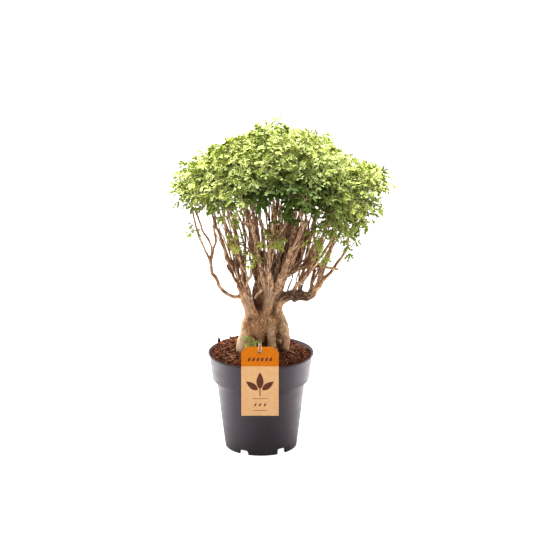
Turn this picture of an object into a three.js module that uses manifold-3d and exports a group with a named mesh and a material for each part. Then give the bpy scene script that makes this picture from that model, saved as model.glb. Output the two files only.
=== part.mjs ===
// A ming aralia grown as a bonsai, in its nursery pot, with a hang tag tied round one leg of its stump.
// Millimetres, +Z up, +X to the right in the front view, -Y towards the viewer.
// The origin is the middle of the pot's flat underside.

import * as THREE from "three";
import { mergeVertices } from "three/addons/utils/BufferGeometryUtils.js";
import Module from "manifold-3d";

const wasm = await Module();
wasm.setup();

// Air left between pieces that touch, and more of it where a leaf passes a branch
const GAP = 0.3;
const LEAF_CLEARANCE = 0.5;

// Pot: a flat foot, a straight taper, a short step out to the collar and a thin lip
const RIM_RADIUS = 95;
const POT_HEIGHT = 176;
const LIP_WIDTH = 4;
const LIP_THICKNESS = 3;
const COLLAR_HEIGHT = 52;
const COLLAR_BASE_RADIUS = 85.4;
const STEP_HEIGHT = 8;
const STEP_WIDTH = 6.4;
const FOOT_RADIUS = 65;
const FOOT_ROUND = 2;
const POT_WALL = 2.4;
const FLOOR_THICKNESS = 3;
const POT_SIDES = 32;
const NOTCH_COUNT = 6;
const NOTCH_WIDTH = 18;
const NOTCH_HEIGHT = 8;
const NOTCH_DEPTH = 7;
const NOTCH_TURN = THREE.MathUtils.degToRad(-27);

// Soil
const SOIL_LEVEL = 172;
const SOIL_MOUND = 9;
const SOIL_LUMP = 1.6;
const SOIL_SIDES = 22;
const SOIL_RINGS = 5;

// Hang tag and its string
const TAG_WIDTH = 66;
const TAG_HEIGHT = 128;
const TAG_THICKNESS = 0.8;
const TAG_CHAMFER = 10;
const TAG_TOP = 216;
const TAG_MIDDLE = -1.5;
const TAG_FACE = -(RIM_RADIUS + GAP + TAG_THICKNESS);
const HOLE_RADIUS = 3.6;
const HOLE_DROP = 9;
const STRING_RADIUS = 0.6;

// Wood: sides of its parts, depth of the bark's waves as a share of the radius, and what counts as thick
const BODY_SIDES = 12;
const LEG_SIDES = 9;
const LIMB_SIDES = 6;
const STEM_SIDES = 4;
const STUMP_BARK = 0.075;
const LIMB_BARK = 0.05;
const THICK_LIMB = 8;

// Crown: a dome over an oval plan, with a dip before its right shoulder
const CROWN = { middle: 35, left: 224, right: 222, depth: 166, top: 598, drop: 113 };
const DIP = { at: 155, width: 30, depth: 32 };

// Leaves and sprays
const LEAF_THICKNESS = 0.7;
const LEAF_LENGTH = 38;
const LEAF_STALK = 0.24;
const LEAF_ARCH = 0.15;
const LEAF_SPACING = 5;
const LEAF_LIFT = [-12, 24].map(THREE.MathUtils.degToRad);
const LEAFLETS = 5;
const LEAFLET_TURN = THREE.MathUtils.degToRad(44);
const LEAFLET_SPREAD = 0.52;
const LEAFLET_CUT = 0.2;
const LEAFLET_LOSS = 0.12;
const LEAF_SHARES = [1.1, 0.95, 0.8, 0.65, 0.5];
const LEAF_SHIFTS = [0, 0.4, -0.4, 0.8, -0.8];
const DOME_SPRAYS = 24;
const RIM_SPRAYS = 10;
const CROWN_LEAVES = 3;
const RIM_REACH = 0.74;
const RIM_DROP = 66;
const RIM_WAVE = 8;
const SPRAY_LEAN = 1.5;
const SPRAY_STALK = 26;
const SPRAY_DEPTH = 22;
const SPRAY_WAVE = 5;
const SPRAY_REACH = 0.87;
const SPRAY_CROWDING = 0.46;
const GOLDEN_ANGLE = Math.PI * (3 - Math.sqrt(5));
const TWIG_RADIUS = 1.5;

// Branches: what makes a start dear or cheap, counted in millimetres, and how a branch bends on its way
const LENGTH_COST = 1.7;
const SHARED_COST = 14;
const LEVEL_COST = 60;
const TIP_FAVOUR = 30;
const LEAST_RISE = 9;
const STATION_SPACING = 14;
const BRANCH_SIDES = 3;
const BRANCH_BEND = 0.35;
const BRANCH_MIDDLE = 0.62;
const BRANCH_TAPER = 0.008;

// A stem's points with a radius each, written as [x, y, z, radius]
const stemOf = (...rows) => ({
  points: rows.map((row) => row.slice(0, 3)),
  radii: rows.map((row) => row[3]),
});

// Legs of the stump, from below the soil up into the body
const LEGS = [
  // Left leg
  stemOf(
    [-34, -12, 150, 9], [-33, -11, 170, 12], [-31, -10, 190, 14], [-21, -6, 214, 18.5],
    [-15, -3, 238, 17],
  ),
  // Middle leg, which the string is tied round
  stemOf(
    [21, -17, 150, 6], [20, -17, 170, 8], [19, -16, 192, 8], [18, -14, 208, 9], [16, -11, 222, 13.5],
    [14, -6, 240, 17],
  ),
  // Right leg
  stemOf(
    [46, -7, 150, 5], [45, -6, 170, 6.5], [43.5, -5, 196, 7.5], [41, -4, 209, 10], [33, -2, 223, 16],
    [23, 0, 244, 17],
  ),
  // Leg at the back left
  stemOf(
    [-22, 36, 150, 7], [-20, 34, 170, 10], [-18, 30, 192, 11], [-12, 20, 216, 16], [-6, 10, 240, 17],
  ),
  // Leg at the back right
  stemOf([30, 38, 150, 6], [28, 36, 170, 9], [26, 32, 192, 10], [20, 22, 217, 16], [14, 12, 240, 17]),
];
const BODY = stemOf([2, 4, 215, 24], [3, 4, 227, 33], [8, 2, 243, 27], [14, 1, 259, 20], [17, 0, 272, 14]);

// Limbs and stems as they rise from the stump
const LIMBS = [
  // Left limb, cut off short at the top
  stemOf([-16, -3, 234, 15], [-21, -5, 254, 8.5], [-26, -7, 276, 10.5], [-28, -8, 294, 9]),
  // Middle limb
  stemOf(
    [10, -2, 240, 13], [13, -4, 262, 11], [16, -5, 284, 10.5], [17, -5, 304, 9.5], [20, -3, 338, 7.5],
    [24, 0, 371, 6], [27, 2, 402, 4.5], [24, 4, 438, 3],
  ),
  // Right limb, which runs level before it rises
  stemOf(
    [24, 0, 246, 13], [32, 3, 267, 11], [46, 4, 278, 10], [62, 3, 281, 9.5], [79, 1, 280, 8.5],
    [91, -2, 285, 7], [99, -4, 297, 6], [108, -4, 306, 5],
  ),
  // Limb behind the middle
  stemOf(
    [8, 2, 258, 10], [1, 5, 286, 8.5], [-2, 6, 316, 8], [-3, 6, 343, 7], [-4, 4, 378, 6],
    [-6, 2, 404, 4.5], [-13, -2, 432, 3],
  ),
  // Leaning limb on the right of the middle
  stemOf(
    [22, 2, 264, 10], [31, 5, 296, 10], [50, 8, 324, 9], [68, 8, 346, 8], [75, 8, 375, 7],
    [75, 6, 403, 5.5], [68, 4, 434, 3.5],
  ),
  // Knobbly left branch
  stemOf(
    [-30, -8, 284, 8], [-36, -6, 300, 6.5], [-43, -4, 320, 6], [-49, -2, 334, 5.8], [-50, -2, 341, 4.5],
  ),
  // Its thin end
  stemOf(
    [-50, -2, 334, 5], [-55, 0, 342, 3.5], [-61, 2, 353, 3], [-67, 4, 372, 2.6], [-73, 6, 390, 2.3],
    [-84, 8, 424, 1.8],
  ),
  // Stem left of the middle, leaning forwards
  stemOf(
    [-40, -6, 314, 6], [-42, -10, 342, 5.5], [-46, -16, 376, 4.5], [-56, -24, 410, 3.5],
    [-66, -32, 440, 2.5],
  ),
  // Second stem, steeper
  stemOf(
    [-24, -10, 286, 7], [-28, -14, 320, 5.5], [-28, -18, 356, 4.5], [-29, -22, 392, 4],
    [-36, -28, 430, 2.8],
  ),
  // Stem at the back left
  stemOf(
    [-24, 0, 288, 7], [-34, 14, 322, 5.5], [-40, 28, 360, 4.5], [-48, 44, 400, 3.5],
    [-58, 60, 436, 2.5],
  ),
  // Short forked twig
  stemOf([-32, -10, 294, 3.5], [-25, -17, 312, 2.6], [-17, -20, 330, 2.2], [-10, -24, 362, 1.8]),
  // Branch that loops out to the far left
  stemOf(
    [-27, -8, 281, 5], [-41, -9, 283, 4], [-57, -10, 286, 3.6], [-68, -10, 295, 3.4],
    [-78, -9, 309, 3.2], [-85, -8, 323, 3], [-87, -7, 338, 3], [-90, -6, 352, 3.3],
  ),
  // Its outer fork
  stemOf(
    [-90, -6, 349, 2.6], [-97, -8, 364, 2], [-105, -10, 382, 1.9], [-111, -12, 400, 1.8],
    [-118, -14, 426, 1.6], [-120, -16, 444, 1.5],
  ),
  // Its back fork
  stemOf(
    [-89, -6, 351, 2.4], [-87, 1, 366, 1.9], [-94, 7, 380, 1.8], [-103, 13, 396, 1.7],
    [-111, 20, 414, 1.6], [-117, 26, 438, 1.5],
  ),
  // Its inner fork
  stemOf(
    [-88, -7, 350, 2.4], [-83, -4, 370, 1.9], [-81, -2, 386, 1.8], [-82, 0, 404, 1.7],
    [-84, 2, 426, 1.6], [-88, 4, 446, 1.5],
  ),
  // Branch to the far right
  stemOf(
    [104, -4, 302, 4.6], [112, -4, 313, 3.6], [121, -5, 322, 2.7], [134, -6, 341, 2.4],
    [149, -8, 365, 2.2], [156, -9, 386, 2], [158, -9, 400, 1.9], [165, -10, 415, 1.8],
    [178, -12, 438, 1.6],
  ),
  // Upright from the right limb
  stemOf(
    [102, -4, 299, 5], [106, -2, 322, 4.2], [114, 0, 342, 3.8], [122, 2, 359, 3.4], [127, 4, 380, 3],
    [130, 6, 408, 2.6], [138, 8, 438, 2],
  ),
  // Curved stem from the right limb
  stemOf(
    [58, 0, 283, 5], [61, -5, 296, 4], [67, -8, 307, 3.6], [78, -12, 320, 3.4], [87, -16, 334, 3.2],
    [93, -20, 347, 3], [98, -26, 368, 2.7], [106, -34, 394, 2.4], [117, -44, 426, 2],
  ),
  // Stem behind it
  stemOf(
    [70, 4, 283, 4.4], [71, 9, 300, 3], [75, 15, 317, 2.8], [82, 27, 346, 2.6], [92, 43, 384, 2.3],
    [105, 61, 426, 2],
  ),
  // Stem at the back right
  stemOf(
    [90, 0, 286, 4.4], [92, 5, 308, 3], [95, 11, 326, 2.8], [102, 21, 352, 2.5], [115, 37, 390, 2.2],
    [134, 54, 428, 1.9],
  ),
  // Side twig of the curved stem
  stemOf([94, -20, 342, 2.6], [108, -22, 361, 2.2], [120, -25, 386, 2], [136, -31, 420, 1.8]),
  // Bare twig that ends cut off on the right
  stemOf(
    [48, 4, 318, 4.2], [58, -4, 327, 3.2], [71, -9, 333, 2.8], [90, -12, 339, 2.5],
    [105, -13, 338, 2.3], [122, -14, 336, 2.2], [137, -15, 334, 2.1],
  ),
  // Cut stub facing the front
  stemOf([-3, 4, 348, 6], [4, -6, 358, 6], [11, -19, 357, 5.6]),
  // Front stems
  stemOf(
    [16, -4, 292, 7], [27, -9, 330, 5.5], [34, -17, 366, 4.5], [40, -27, 404, 3.8], [46, -39, 440, 2.6],
  ),
  stemOf([22, 3, 292, 6.5], [36, 6, 332, 5], [45, 9, 366, 4.4], [51, 12, 404, 3.8], [54, 15, 444, 2.6]),
  stemOf(
    [25, -2, 286, 7], [44, -11, 326, 5.5], [58, -21, 358, 4.5], [67, -33, 392, 3.6],
    [78, -49, 430, 2.5],
  ),
  // Back stems
  stemOf(
    [14, 4, 286, 8], [18, 20, 326, 5.5], [22, 36, 364, 4.5], [26, 54, 404, 3.6], [30, 75, 442, 2.5],
  ),
  stemOf(
    [24, 6, 286, 7.5], [40, 24, 326, 5.2], [54, 42, 362, 4.4], [67, 60, 400, 3.5], [82, 79, 438, 2.5],
  ),
  stemOf(
    [2, 6, 284, 7.5], [-8, 22, 324, 5.2], [-14, 40, 362, 4.4], [-20, 58, 402, 3.5], [-28, 77, 440, 2.5],
  ),
  // Front stems that lean out
  stemOf(
    [10, -6, 288, 7], [2, -18, 328, 4.6], [-4, -32, 366, 4], [-10, -50, 404, 3.4], [-18, -73, 442, 2.4],
  ),
  stemOf(
    [15, -8, 288, 7], [14, -23, 330, 4.6], [16, -39, 368, 4], [20, -59, 406, 3.4], [24, -83, 444, 2.4],
  ),
  stemOf(
    [24, -4, 288, 7], [38, -21, 328, 4.6], [52, -39, 366, 4], [64, -59, 402, 3.4], [77, -82, 438, 2.4],
  ),
  // Upper fork of the leaning limb
  stemOf([62, 8, 338, 5.5], [74, 12, 362, 4], [88, 14, 390, 3.2], [100, 14, 428, 2.4]),
];

// A small sprig: its middle, direction, length of leaf, number of leaves and length of stalk
const sprigOf = (name, centre, axis, leaf, leaves, stalk) => ({ name, centre, axis, leaf, leaves, stalk });

// Sprigs below the crown, on top of it and at the foot
const SPRIGS = [
  sprigOf("sprig_front", [26, -62, 398], [0.2, -0.8, 0.5], 22, 3, 12),
  sprigOf("sprig_middle", [-15, -36, 358], [0.3, -0.9, 0.3], 15, 2, 9),
  sprigOf("sprig_left", [-46, -44, 394], [-0.5, -0.8, 0.4], 17, 3, 11),
  sprigOf("sprig_right", [96, -60, 408], [0.2, -0.8, 0.6], 22, 3, 12),
  sprigOf("sprig_low_right", [112, -34, 362], [0.5, -0.8, 0.2], 16, 2, 10),
  sprigOf("sprig_outer_right", [150, -34, 402], [0.5, -0.8, 0.4], 18, 3, 12),
  sprigOf("sprig_outer_left", [-122, -22, 404], [-0.8, -0.5, -0.2], 14, 2, 11),
  sprigOf("sprig_top", [25, 40, 592], [0.1, 0.1, 1], 23, 3, 16),
  sprigOf("sprout_foot", [-20, -38, 207], [-0.3, -0.9, -0.1], 13, 3, 8),
];

// The string's closed route: from the leg's left side twice through the tag's hole, and back round the leg
const STRING_ROUTE = [
  [9.4, -20, 185.5], [5, -34, 186.5], [2, -50, 190], [0, -66, 196], [-1.2, -80, 204], [-2.2, -90, 214],
  [-2.8, -95.5, 222.5], [-3.8, -98, 219], [-4.2, -98.1, 212.5], [-3.4, -97.9, 208], [-2.9, -96, 206.4],
  [-2.3, -94.3, 207], [-0.7, -94.1, 207], [-0.1, -96, 206.4], [0.4, -97.9, 208], [1.2, -98.1, 212.5],
  [0.8, -98, 219], [0, -95.5, 222.5], [0.6, -90, 213.6], [2.2, -80, 203], [6, -62, 193], [13, -42, 187.5],
  [22, -28, 185.5], [28.6, -20, 185.5], [28.8, -14, 185.5], [25, -7.4, 185.5], [19, -5.8, 185.5],
  [12, -8.4, 185.5], [9, -14, 185.5],
];

const vector = (values) => new THREE.Vector3(...values);

// A mesh of bare positions and triangles as a solid
function solid(positions, triangles) {
  const vertProperties = new Float32Array(positions);
  const triVerts = new Uint32Array(triangles);
  return new wasm.Manifold(new wasm.Mesh({ numProp: 3, vertProperties, triVerts }));
}

// A three.js geometry as a solid
function solidOf(geometry) {
  const bare = geometry.index ? geometry.toNonIndexed() : geometry.clone();
  bare.deleteAttribute("normal");
  bare.deleteAttribute("uv");
  const merged = mergeVertices(bare, 1e-4);
  return solid(merged.attributes.position.array, merged.index.array);
}

// A solid as a geometry to draw
function geometryOf(made) {
  const mesh = made.getMesh();
  const geometry = new THREE.BufferGeometry();
  geometry.setAttribute("position", new THREE.BufferAttribute(mesh.vertProperties, 3));
  geometry.setIndex(new THREE.BufferAttribute(mesh.triVerts, 1));
  return geometry;
}

const union = (solids) => wasm.Manifold.union(solids);

// Pieces grown together as one body: a hollow sealed between them is filled
function grown(solids) {
  const bodies = union(solids).decompose();
  return bodies.reduce((best, body) => (body.volume() > best.volume() ? body : best));
}

// Two triangles for each side between neighbouring rings of vertices
function sideTriangles(rings, sides, closed) {
  const triangles = [];
  const bands = closed ? rings : rings - 1;
  for (let ring = 0; ring < bands; ring++) {
    const low = ring * sides;
    const high = ((ring + 1) % rings) * sides;
    for (let i = 0; i < sides; i++) {
      const next = (i + 1) % sides;
      triangles.push(low + i, low + next, high + next, low + i, high + next, high + i);
    }
  }
  return triangles;
}

// Directions across a curve at its rings, carried along it without twist
function crossways(tangents) {
  const start = Math.abs(tangents[0].z) > 0.7 ? new THREE.Vector3(1, 0, 0) : new THREE.Vector3(0, 0, 1);
  let across = start.cross(tangents[0]).normalize();
  return tangents.map((tangent) => {
    across = across.clone().addScaledVector(tangent, -across.dot(tangent)).normalize();
    return [across, new THREE.Vector3().crossVectors(tangent, across)];
  });
}

// A stem: a ring of a few sides at each point of a smooth curve, with a slow wave of bark
function stem({ points, radii }, sides, { extra = 0, bark = 0, closed = false } = {}) {
  const curve = new THREE.CatmullRomCurve3(points.map(vector), closed, "centripetal");
  const rings = points.length;
  const shares = points.map((_, ring) => ring / (closed ? rings : rings - 1));
  const frames = crossways(shares.map((share) => curve.getTangent(share)));
  const positions = [];
  frames.forEach(([across, aside], ring) => {
    for (let i = 0; i < sides; i++) {
      const angle = (i / sides) * 2 * Math.PI;
      const phase = 2.3 * ring - radii[ring];
      const wave = Math.sin(3 * angle + 1.7 * ring) * Math.cos(2 * angle - phase);
      const out = radii[ring] * (1 + bark * wave) + extra;
      const place = vector(points[ring])
        .addScaledVector(across, out * Math.cos(angle))
        .addScaledVector(aside, out * Math.sin(angle));
      positions.push(place.x, place.y, place.z);
    }
  });
  const triangles = sideTriangles(rings, sides, closed);
  if (!closed) {
    for (let i = 1; i < sides - 1; i++) {
      triangles.push(0, i + 1, i);
      triangles.push((rings - 1) * sides, (rings - 1) * sides + i, (rings - 1) * sides + i + 1);
    }
  }
  return solid(positions, triangles);
}

// Outer radii of the pot from the foot up, and the radius of its inside at a height
const STEP_TOP = POT_HEIGHT - COLLAR_HEIGHT;
const STEP_FOOT = STEP_TOP - STEP_HEIGHT;
const STEP_INNER_RADIUS = COLLAR_BASE_RADIUS - STEP_WIDTH;
const COLLAR_TOP_RADIUS = RIM_RADIUS - LIP_WIDTH;

function insideRadius(height) {
  const levels = [0, STEP_FOOT, STEP_TOP, POT_HEIGHT];
  const outer = [FOOT_RADIUS, STEP_INNER_RADIUS, COLLAR_BASE_RADIUS, COLLAR_TOP_RADIUS];
  const near = levels.findIndex((level, i) => i === 2 || height <= levels[i + 1]);
  const share = (height - levels[near]) / (levels[near + 1] - levels[near]);
  return THREE.MathUtils.lerp(outer[near], outer[near + 1], share) - POT_WALL;
}

function makePot() {
  const profile = [
    [0, 0],
    [FOOT_RADIUS - FOOT_ROUND, 0],
    [FOOT_RADIUS, FOOT_ROUND],
    [STEP_INNER_RADIUS, STEP_FOOT],
    [COLLAR_BASE_RADIUS, STEP_TOP],
    [COLLAR_TOP_RADIUS, POT_HEIGHT - LIP_THICKNESS],
    [RIM_RADIUS, POT_HEIGHT - LIP_THICKNESS + 0.4],
    [RIM_RADIUS, POT_HEIGHT - 0.8],
    [RIM_RADIUS - 1, POT_HEIGHT],
    [COLLAR_TOP_RADIUS - POT_WALL, POT_HEIGHT],
    [insideRadius(STEP_TOP), STEP_TOP],
    [insideRadius(STEP_FOOT), STEP_FOOT],
    [insideRadius(FLOOR_THICKNESS), FLOOR_THICKNESS],
    [0, FLOOR_THICKNESS],
  ].map(([radius, height]) => new THREE.Vector2(radius, height));
  const turned = new THREE.LatheGeometry(profile, POT_SIDES).rotateX(Math.PI / 2);
  return solidOf(turned).subtract(union(footNotches()));
}

// Drain notches with round tops, cut through the wall and the floor's edge
function footNotches() {
  const round = NOTCH_HEIGHT * 0.5;
  const arch = new THREE.Shape();
  arch.moveTo(-NOTCH_WIDTH / 2, -1);
  arch.lineTo(NOTCH_WIDTH / 2, -1);
  arch.lineTo(NOTCH_WIDTH / 2, NOTCH_HEIGHT - round);
  arch.absarc(NOTCH_WIDTH / 2 - round, NOTCH_HEIGHT - round, round, 0, Math.PI / 2);
  arch.absarc(-NOTCH_WIDTH / 2 + round, NOTCH_HEIGHT - round, round, Math.PI / 2, Math.PI);
  const options = { depth: 2 * NOTCH_DEPTH, bevelEnabled: false, curveSegments: 2 };
  const block = new THREE.ExtrudeGeometry(arch, options);
  block.rotateX(Math.PI / 2).translate(0, -(FOOT_RADIUS - NOTCH_DEPTH), 0);
  return Array.from({ length: NOTCH_COUNT }, (_, i) =>
    solidOf(block.clone().rotateZ(NOTCH_TURN + (i / NOTCH_COUNT) * 2 * Math.PI)),
  );
}

// Height of the soil: a low mound round the stump with shallow lumps
function soilHeight(x, y) {
  const share = Math.min(1, Math.hypot(x, y) / insideRadius(SOIL_LEVEL));
  const tilt = -0.022 * x + 0.02 * y * (x < 0 ? 1 : -0.6);
  const lumps = Math.sin(0.31 * x + 1.3) * Math.cos(0.27 * y - 0.4) + 0.7 * Math.sin(0.17 * x - 0.23 * y);
  return SOIL_LEVEL - 4 + SOIL_MOUND * (1 - share * share) + tilt + SOIL_LUMP * lumps;
}

function makeSoil(stumpHole) {
  const floor = FLOOR_THICKNESS + GAP;
  const levels = [floor, STEP_FOOT, STEP_TOP];
  const positions = [0, 0, floor];
  const ring = (radius, heightAt) => {
    for (let i = 0; i < SOIL_SIDES; i++) {
      const angle = (i / SOIL_SIDES) * 2 * Math.PI;
      const x = radius * Math.cos(angle);
      const y = radius * Math.sin(angle);
      positions.push(x, y, heightAt(x, y));
    }
  };
  for (const level of levels) ring(insideRadius(level) - 2 * GAP, () => level);
  const top = insideRadius(SOIL_LEVEL - 8) - 2 * GAP;
  for (let k = SOIL_RINGS; k > 0; k--) ring((top * k) / SOIL_RINGS, soilHeight);
  positions.push(0, 0, soilHeight(0, 0));
  const rings = levels.length + SOIL_RINGS;
  const last = positions.length / 3 - 1;
  const triangles = sideTriangles(rings, SOIL_SIDES, false).map((index) => index + 1);
  for (let i = 0; i < SOIL_SIDES; i++) {
    const next = (i + 1) % SOIL_SIDES;
    triangles.push(0, 1 + next, 1 + i);
    triangles.push(last, 1 + (rings - 1) * SOIL_SIDES + i, 1 + (rings - 1) * SOIL_SIDES + next);
  }
  return solid(positions, triangles).subtract(stumpHole);
}

// The stump: five legs that join in a lumpy body; extra makes it fatter all round, as its hole in the soil
function makeStump(extra) {
  const legs = LEGS.map((leg) => stem(leg, LEG_SIDES, { extra, bark: STUMP_BARK }));
  return grown([...legs, stem(BODY, BODY_SIDES, { extra, bark: STUMP_BARK })]);
}

// Height of the crown's surface over a point of the plan
function crownHeight(x, y) {
  const across = (x - CROWN.middle) / (x < CROWN.middle ? CROWN.left : CROWN.right);
  const deep = y / CROWN.depth;
  const dip = DIP.depth * Math.exp(-(((x - DIP.at) / DIP.width) ** 2));
  return CROWN.top - CROWN.drop * (across * across + deep * deep) - dip;
}

// One of the crown's sprays, at a share of the way from the crown's middle to its rim
function crownSpray(name, share, angle, sink) {
  const side = Math.cos(angle) < 0 ? CROWN.left : CROWN.right;
  const x = CROWN.middle + share * side * Math.cos(angle);
  const y = share * CROWN.depth * Math.sin(angle);
  const centre = new THREE.Vector3(x, y, crownHeight(x, y) - sink);
  const lean = SPRAY_LEAN * share;
  const axis = new THREE.Vector3(lean * Math.cos(angle), lean * Math.sin(angle), 1).normalize();
  return { name, centre, axis, leaf: LEAF_LENGTH, leaves: CROWN_LEAVES, stalk: SPRAY_STALK };
}

const numbered = (word, i) => word + "_" + String(i + 1).padStart(2, "0");

// Sprays over the dome on a sunflower's spiral, closer together towards the rim
function domeSprays() {
  return Array.from({ length: DOME_SPRAYS }, (_, i) => {
    const share = SPRAY_REACH * ((i + 0.5) / DOME_SPRAYS) ** SPRAY_CROWDING;
    const sink = SPRAY_DEPTH + SPRAY_WAVE * Math.sin(2.4 * i);
    return crownSpray(numbered("crown_spray", i), share, i * GOLDEN_ANGLE, sink);
  });
}

// Sprays that hang below the dome's rim, evenly round it
function rimSprays() {
  return Array.from({ length: RIM_SPRAYS }, (_, i) => {
    const angle = ((i + 0.5) / RIM_SPRAYS) * 2 * Math.PI;
    const sink = RIM_DROP + RIM_WAVE * Math.sin(2.1 * i);
    return crownSpray(numbered("rim_spray", i), RIM_REACH, angle, sink);
  });
}

function handSetSprigs() {
  return SPRIGS.map((sprig) => {
    const centre = vector(sprig.centre);
    const axis = vector(sprig.axis).normalize();
    return { ...sprig, centre, axis };
  });
}

const footOf = ({ centre, axis, stalk }) => centre.clone().addScaledVector(axis, -stalk);

// Places along the limbs where a branch can start
function stations() {
  const places = [];
  for (const { points, radii } of [...LEGS, ...LIMBS]) {
    const curve = new THREE.CatmullRomCurve3(points.map(vector), false, "centripetal");
    const count = Math.ceil(curve.getLength() / STATION_SPACING);
    for (let i = 2; i <= count; i++) {
      const along = (i / count) * (radii.length - 1);
      const near = Math.min(Math.floor(along), radii.length - 2);
      const radius = THREE.MathUtils.lerp(radii[near], radii[near + 1], along - near);
      places.push({ point: curve.getPointAt(i / count), radius, tip: i === count, branches: 0 });
    }
  }
  return places;
}

// Branches: each foot of a spray is reached from the limb that leads to it best
function branches(sprays) {
  const places = stations();
  return sprays.map((spray) => {
    const foot = footOf(spray);
    const cost = ({ point, tip, branches: taken }) => {
      const way = foot.clone().sub(point);
      const length = way.length();
      const rise = way.dot(spray.axis) / Math.max(length, 1);
      const level = Math.min(foot.z - point.z, length) < LEAST_RISE ? LEVEL_COST : 0;
      const favour = tip && !taken ? TIP_FAVOUR : 0;
      return length * (LENGTH_COST - rise) + SHARED_COST * taken + level - favour;
    };
    const start = places.reduce((best, place) => (cost(place) < cost(best) ? place : best));
    start.branches += 1;
    const length = foot.distanceTo(start.point);
    const bend = foot.clone().addScaledVector(spray.axis, -BRANCH_BEND * length);
    const middle = start.point.clone().lerp(bend, BRANCH_MIDDLE);
    const behind = (distance) => foot.clone().addScaledVector(spray.axis, -distance);
    const points = [start.point, middle, behind(GAP + 3 * TWIG_RADIUS), behind(GAP)];
    const first = Math.min(0.75 * start.radius, TWIG_RADIUS + BRANCH_TAPER * length);
    const radii = [first, Math.max(TWIG_RADIUS, 0.8 * first), TWIG_RADIUS, TWIG_RADIUS];
    return stem({ points: points.map((point) => point.toArray()), radii }, BRANCH_SIDES);
  });
}

function makeWood(sprays) {
  const limbs = LIMBS.map((limb) => {
    const sides = limb.radii[0] > THICK_LIMB ? LIMB_SIDES : STEM_SIDES;
    return stem(limb, sides, { bark: LIMB_BARK });
  });
  return grown([makeStump(0), ...limbs, ...branches(sprays)]);
}

// Outline of one compound leaf, flat, as shares of its length: a stalk, and leaflets cut nearly to its end
function leafOutline() {
  const middle = (LEAFLETS - 1) / 2;
  const outline = [[0.06, Math.PI - 0.67], [LEAF_STALK, Math.PI], [0.06, 0.67 - Math.PI]];
  for (let i = 0; i < LEAFLETS; i++) {
    const turn = LEAFLET_TURN * (i - middle);
    const length = 1 - LEAFLET_LOSS * Math.abs(i - middle);
    outline.push([0.86 * length, turn - 0.5 * LEAFLET_SPREAD]);
    outline.push([length, turn + 0.4 * LEAFLET_SPREAD]);
    outline.push([LEAFLET_CUT, turn + 0.5 * LEAFLET_TURN]);
  }
  outline.pop();
  return outline.map(([radius, turn]) => [radius * Math.cos(turn), radius * Math.sin(turn)]);
}

const OUTLINE = leafOutline();

// Vertices of a leaf's upper and lower faces: its middle first, then its outline, arched down to its tips
function leafPoints(base, way, up, length) {
  const side = new THREE.Vector3().crossVectors(up, way);
  const faces = [];
  for (const half of [LEAF_THICKNESS / 2, -LEAF_THICKNESS / 2]) {
    for (const [ahead, across] of [[0, 0], ...OUTLINE]) {
      const droop = ahead < 0 ? 0 : LEAF_ARCH * (ahead * ahead + across * across) * length;
      const point = base.clone().addScaledVector(way, ahead * length);
      faces.push(point.addScaledVector(side, across * length).addScaledVector(up, half - droop));
    }
  }
  return faces;
}

function leafSolid(points) {
  const lower = OUTLINE.length + 1;
  const triangles = [];
  for (let i = 1; i < lower; i++) {
    const next = (i % OUTLINE.length) + 1;
    triangles.push(0, i, next, lower, lower + next, lower + i);
    triangles.push(i, lower + i, lower + next, i, lower + next, next);
  }
  return solid(points.flatMap((point) => point.toArray()), triangles);
}

// Whether all points lie nearer to this spray's middle than to any other's
function keepsToItsPlace(points, spray, sprays) {
  return sprays.every((other) => {
    if (other === spray) return true;
    const apart = other.centre.distanceTo(spray.centre);
    return points.every((point) => {
      const nearer = point.distanceToSquared(other.centre) - point.distanceToSquared(spray.centre);
      return nearer / (2 * apart) > LEAF_CLEARANCE;
    });
  });
}

// One spray: a stalk with compound leaves one above the other, each turned or shortened until it is clear
function makeSpray(spray, index, sprays, wood) {
  const { centre, axis, leaves } = spray;
  const foot = footOf(spray);
  const top = centre.clone().addScaledVector(axis, leafLevel(leaves - 1, leaves) + TWIG_RADIUS);
  const pieces = [stem({ points: [foot.toArray(), top.toArray()], radii: [TWIG_RADIUS, TWIG_RADIUS] }, 3)];
  const obstacles = [wood];
  for (let k = 0; k < leaves; k++) {
    const leaf = clearLeaf(spray, index, k, sprays, obstacles);
    if (leaf) {
      pieces.push(leaf);
      obstacles.push(leaf);
    }
  }
  return grown(pieces);
}

// How far a leaf starts beyond the spray's middle, along its stalk
const leafLevel = (k, leaves) => (k - (leaves - 1) / 2) * LEAF_SPACING;

function clearLeaf(spray, index, k, sprays, obstacles) {
  const { centre, axis, leaves } = spray;
  const first = new THREE.Vector3(1, 0, 0).cross(axis).normalize();
  const second = new THREE.Vector3().crossVectors(axis, first);
  const start = centre.clone().addScaledVector(axis, leafLevel(k, leaves));
  const lift = THREE.MathUtils.lerp(...LEAF_LIFT, k / leaves);
  for (const share of LEAF_SHARES) {
    for (const shift of LEAF_SHIFTS) {
      const turn = (k + index) * GOLDEN_ANGLE + shift;
      const flat = first.clone().multiplyScalar(Math.cos(turn)).addScaledVector(second, Math.sin(turn));
      const way = flat.clone().multiplyScalar(Math.cos(lift)).addScaledVector(axis, Math.sin(lift));
      const up = axis.clone().multiplyScalar(Math.cos(lift)).addScaledVector(flat, -Math.sin(lift));
      const length = share * spray.leaf;
      const points = leafPoints(start.clone().addScaledVector(way, LEAF_STALK * length), way, up, length);
      if (!keepsToItsPlace(points, spray, sprays)) continue;
      const leaf = leafSolid(points);
      if (obstacles.every((obstacle) => leaf.intersect(obstacle).isEmpty())) return leaf;
    }
  }
  return null;
}

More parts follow.
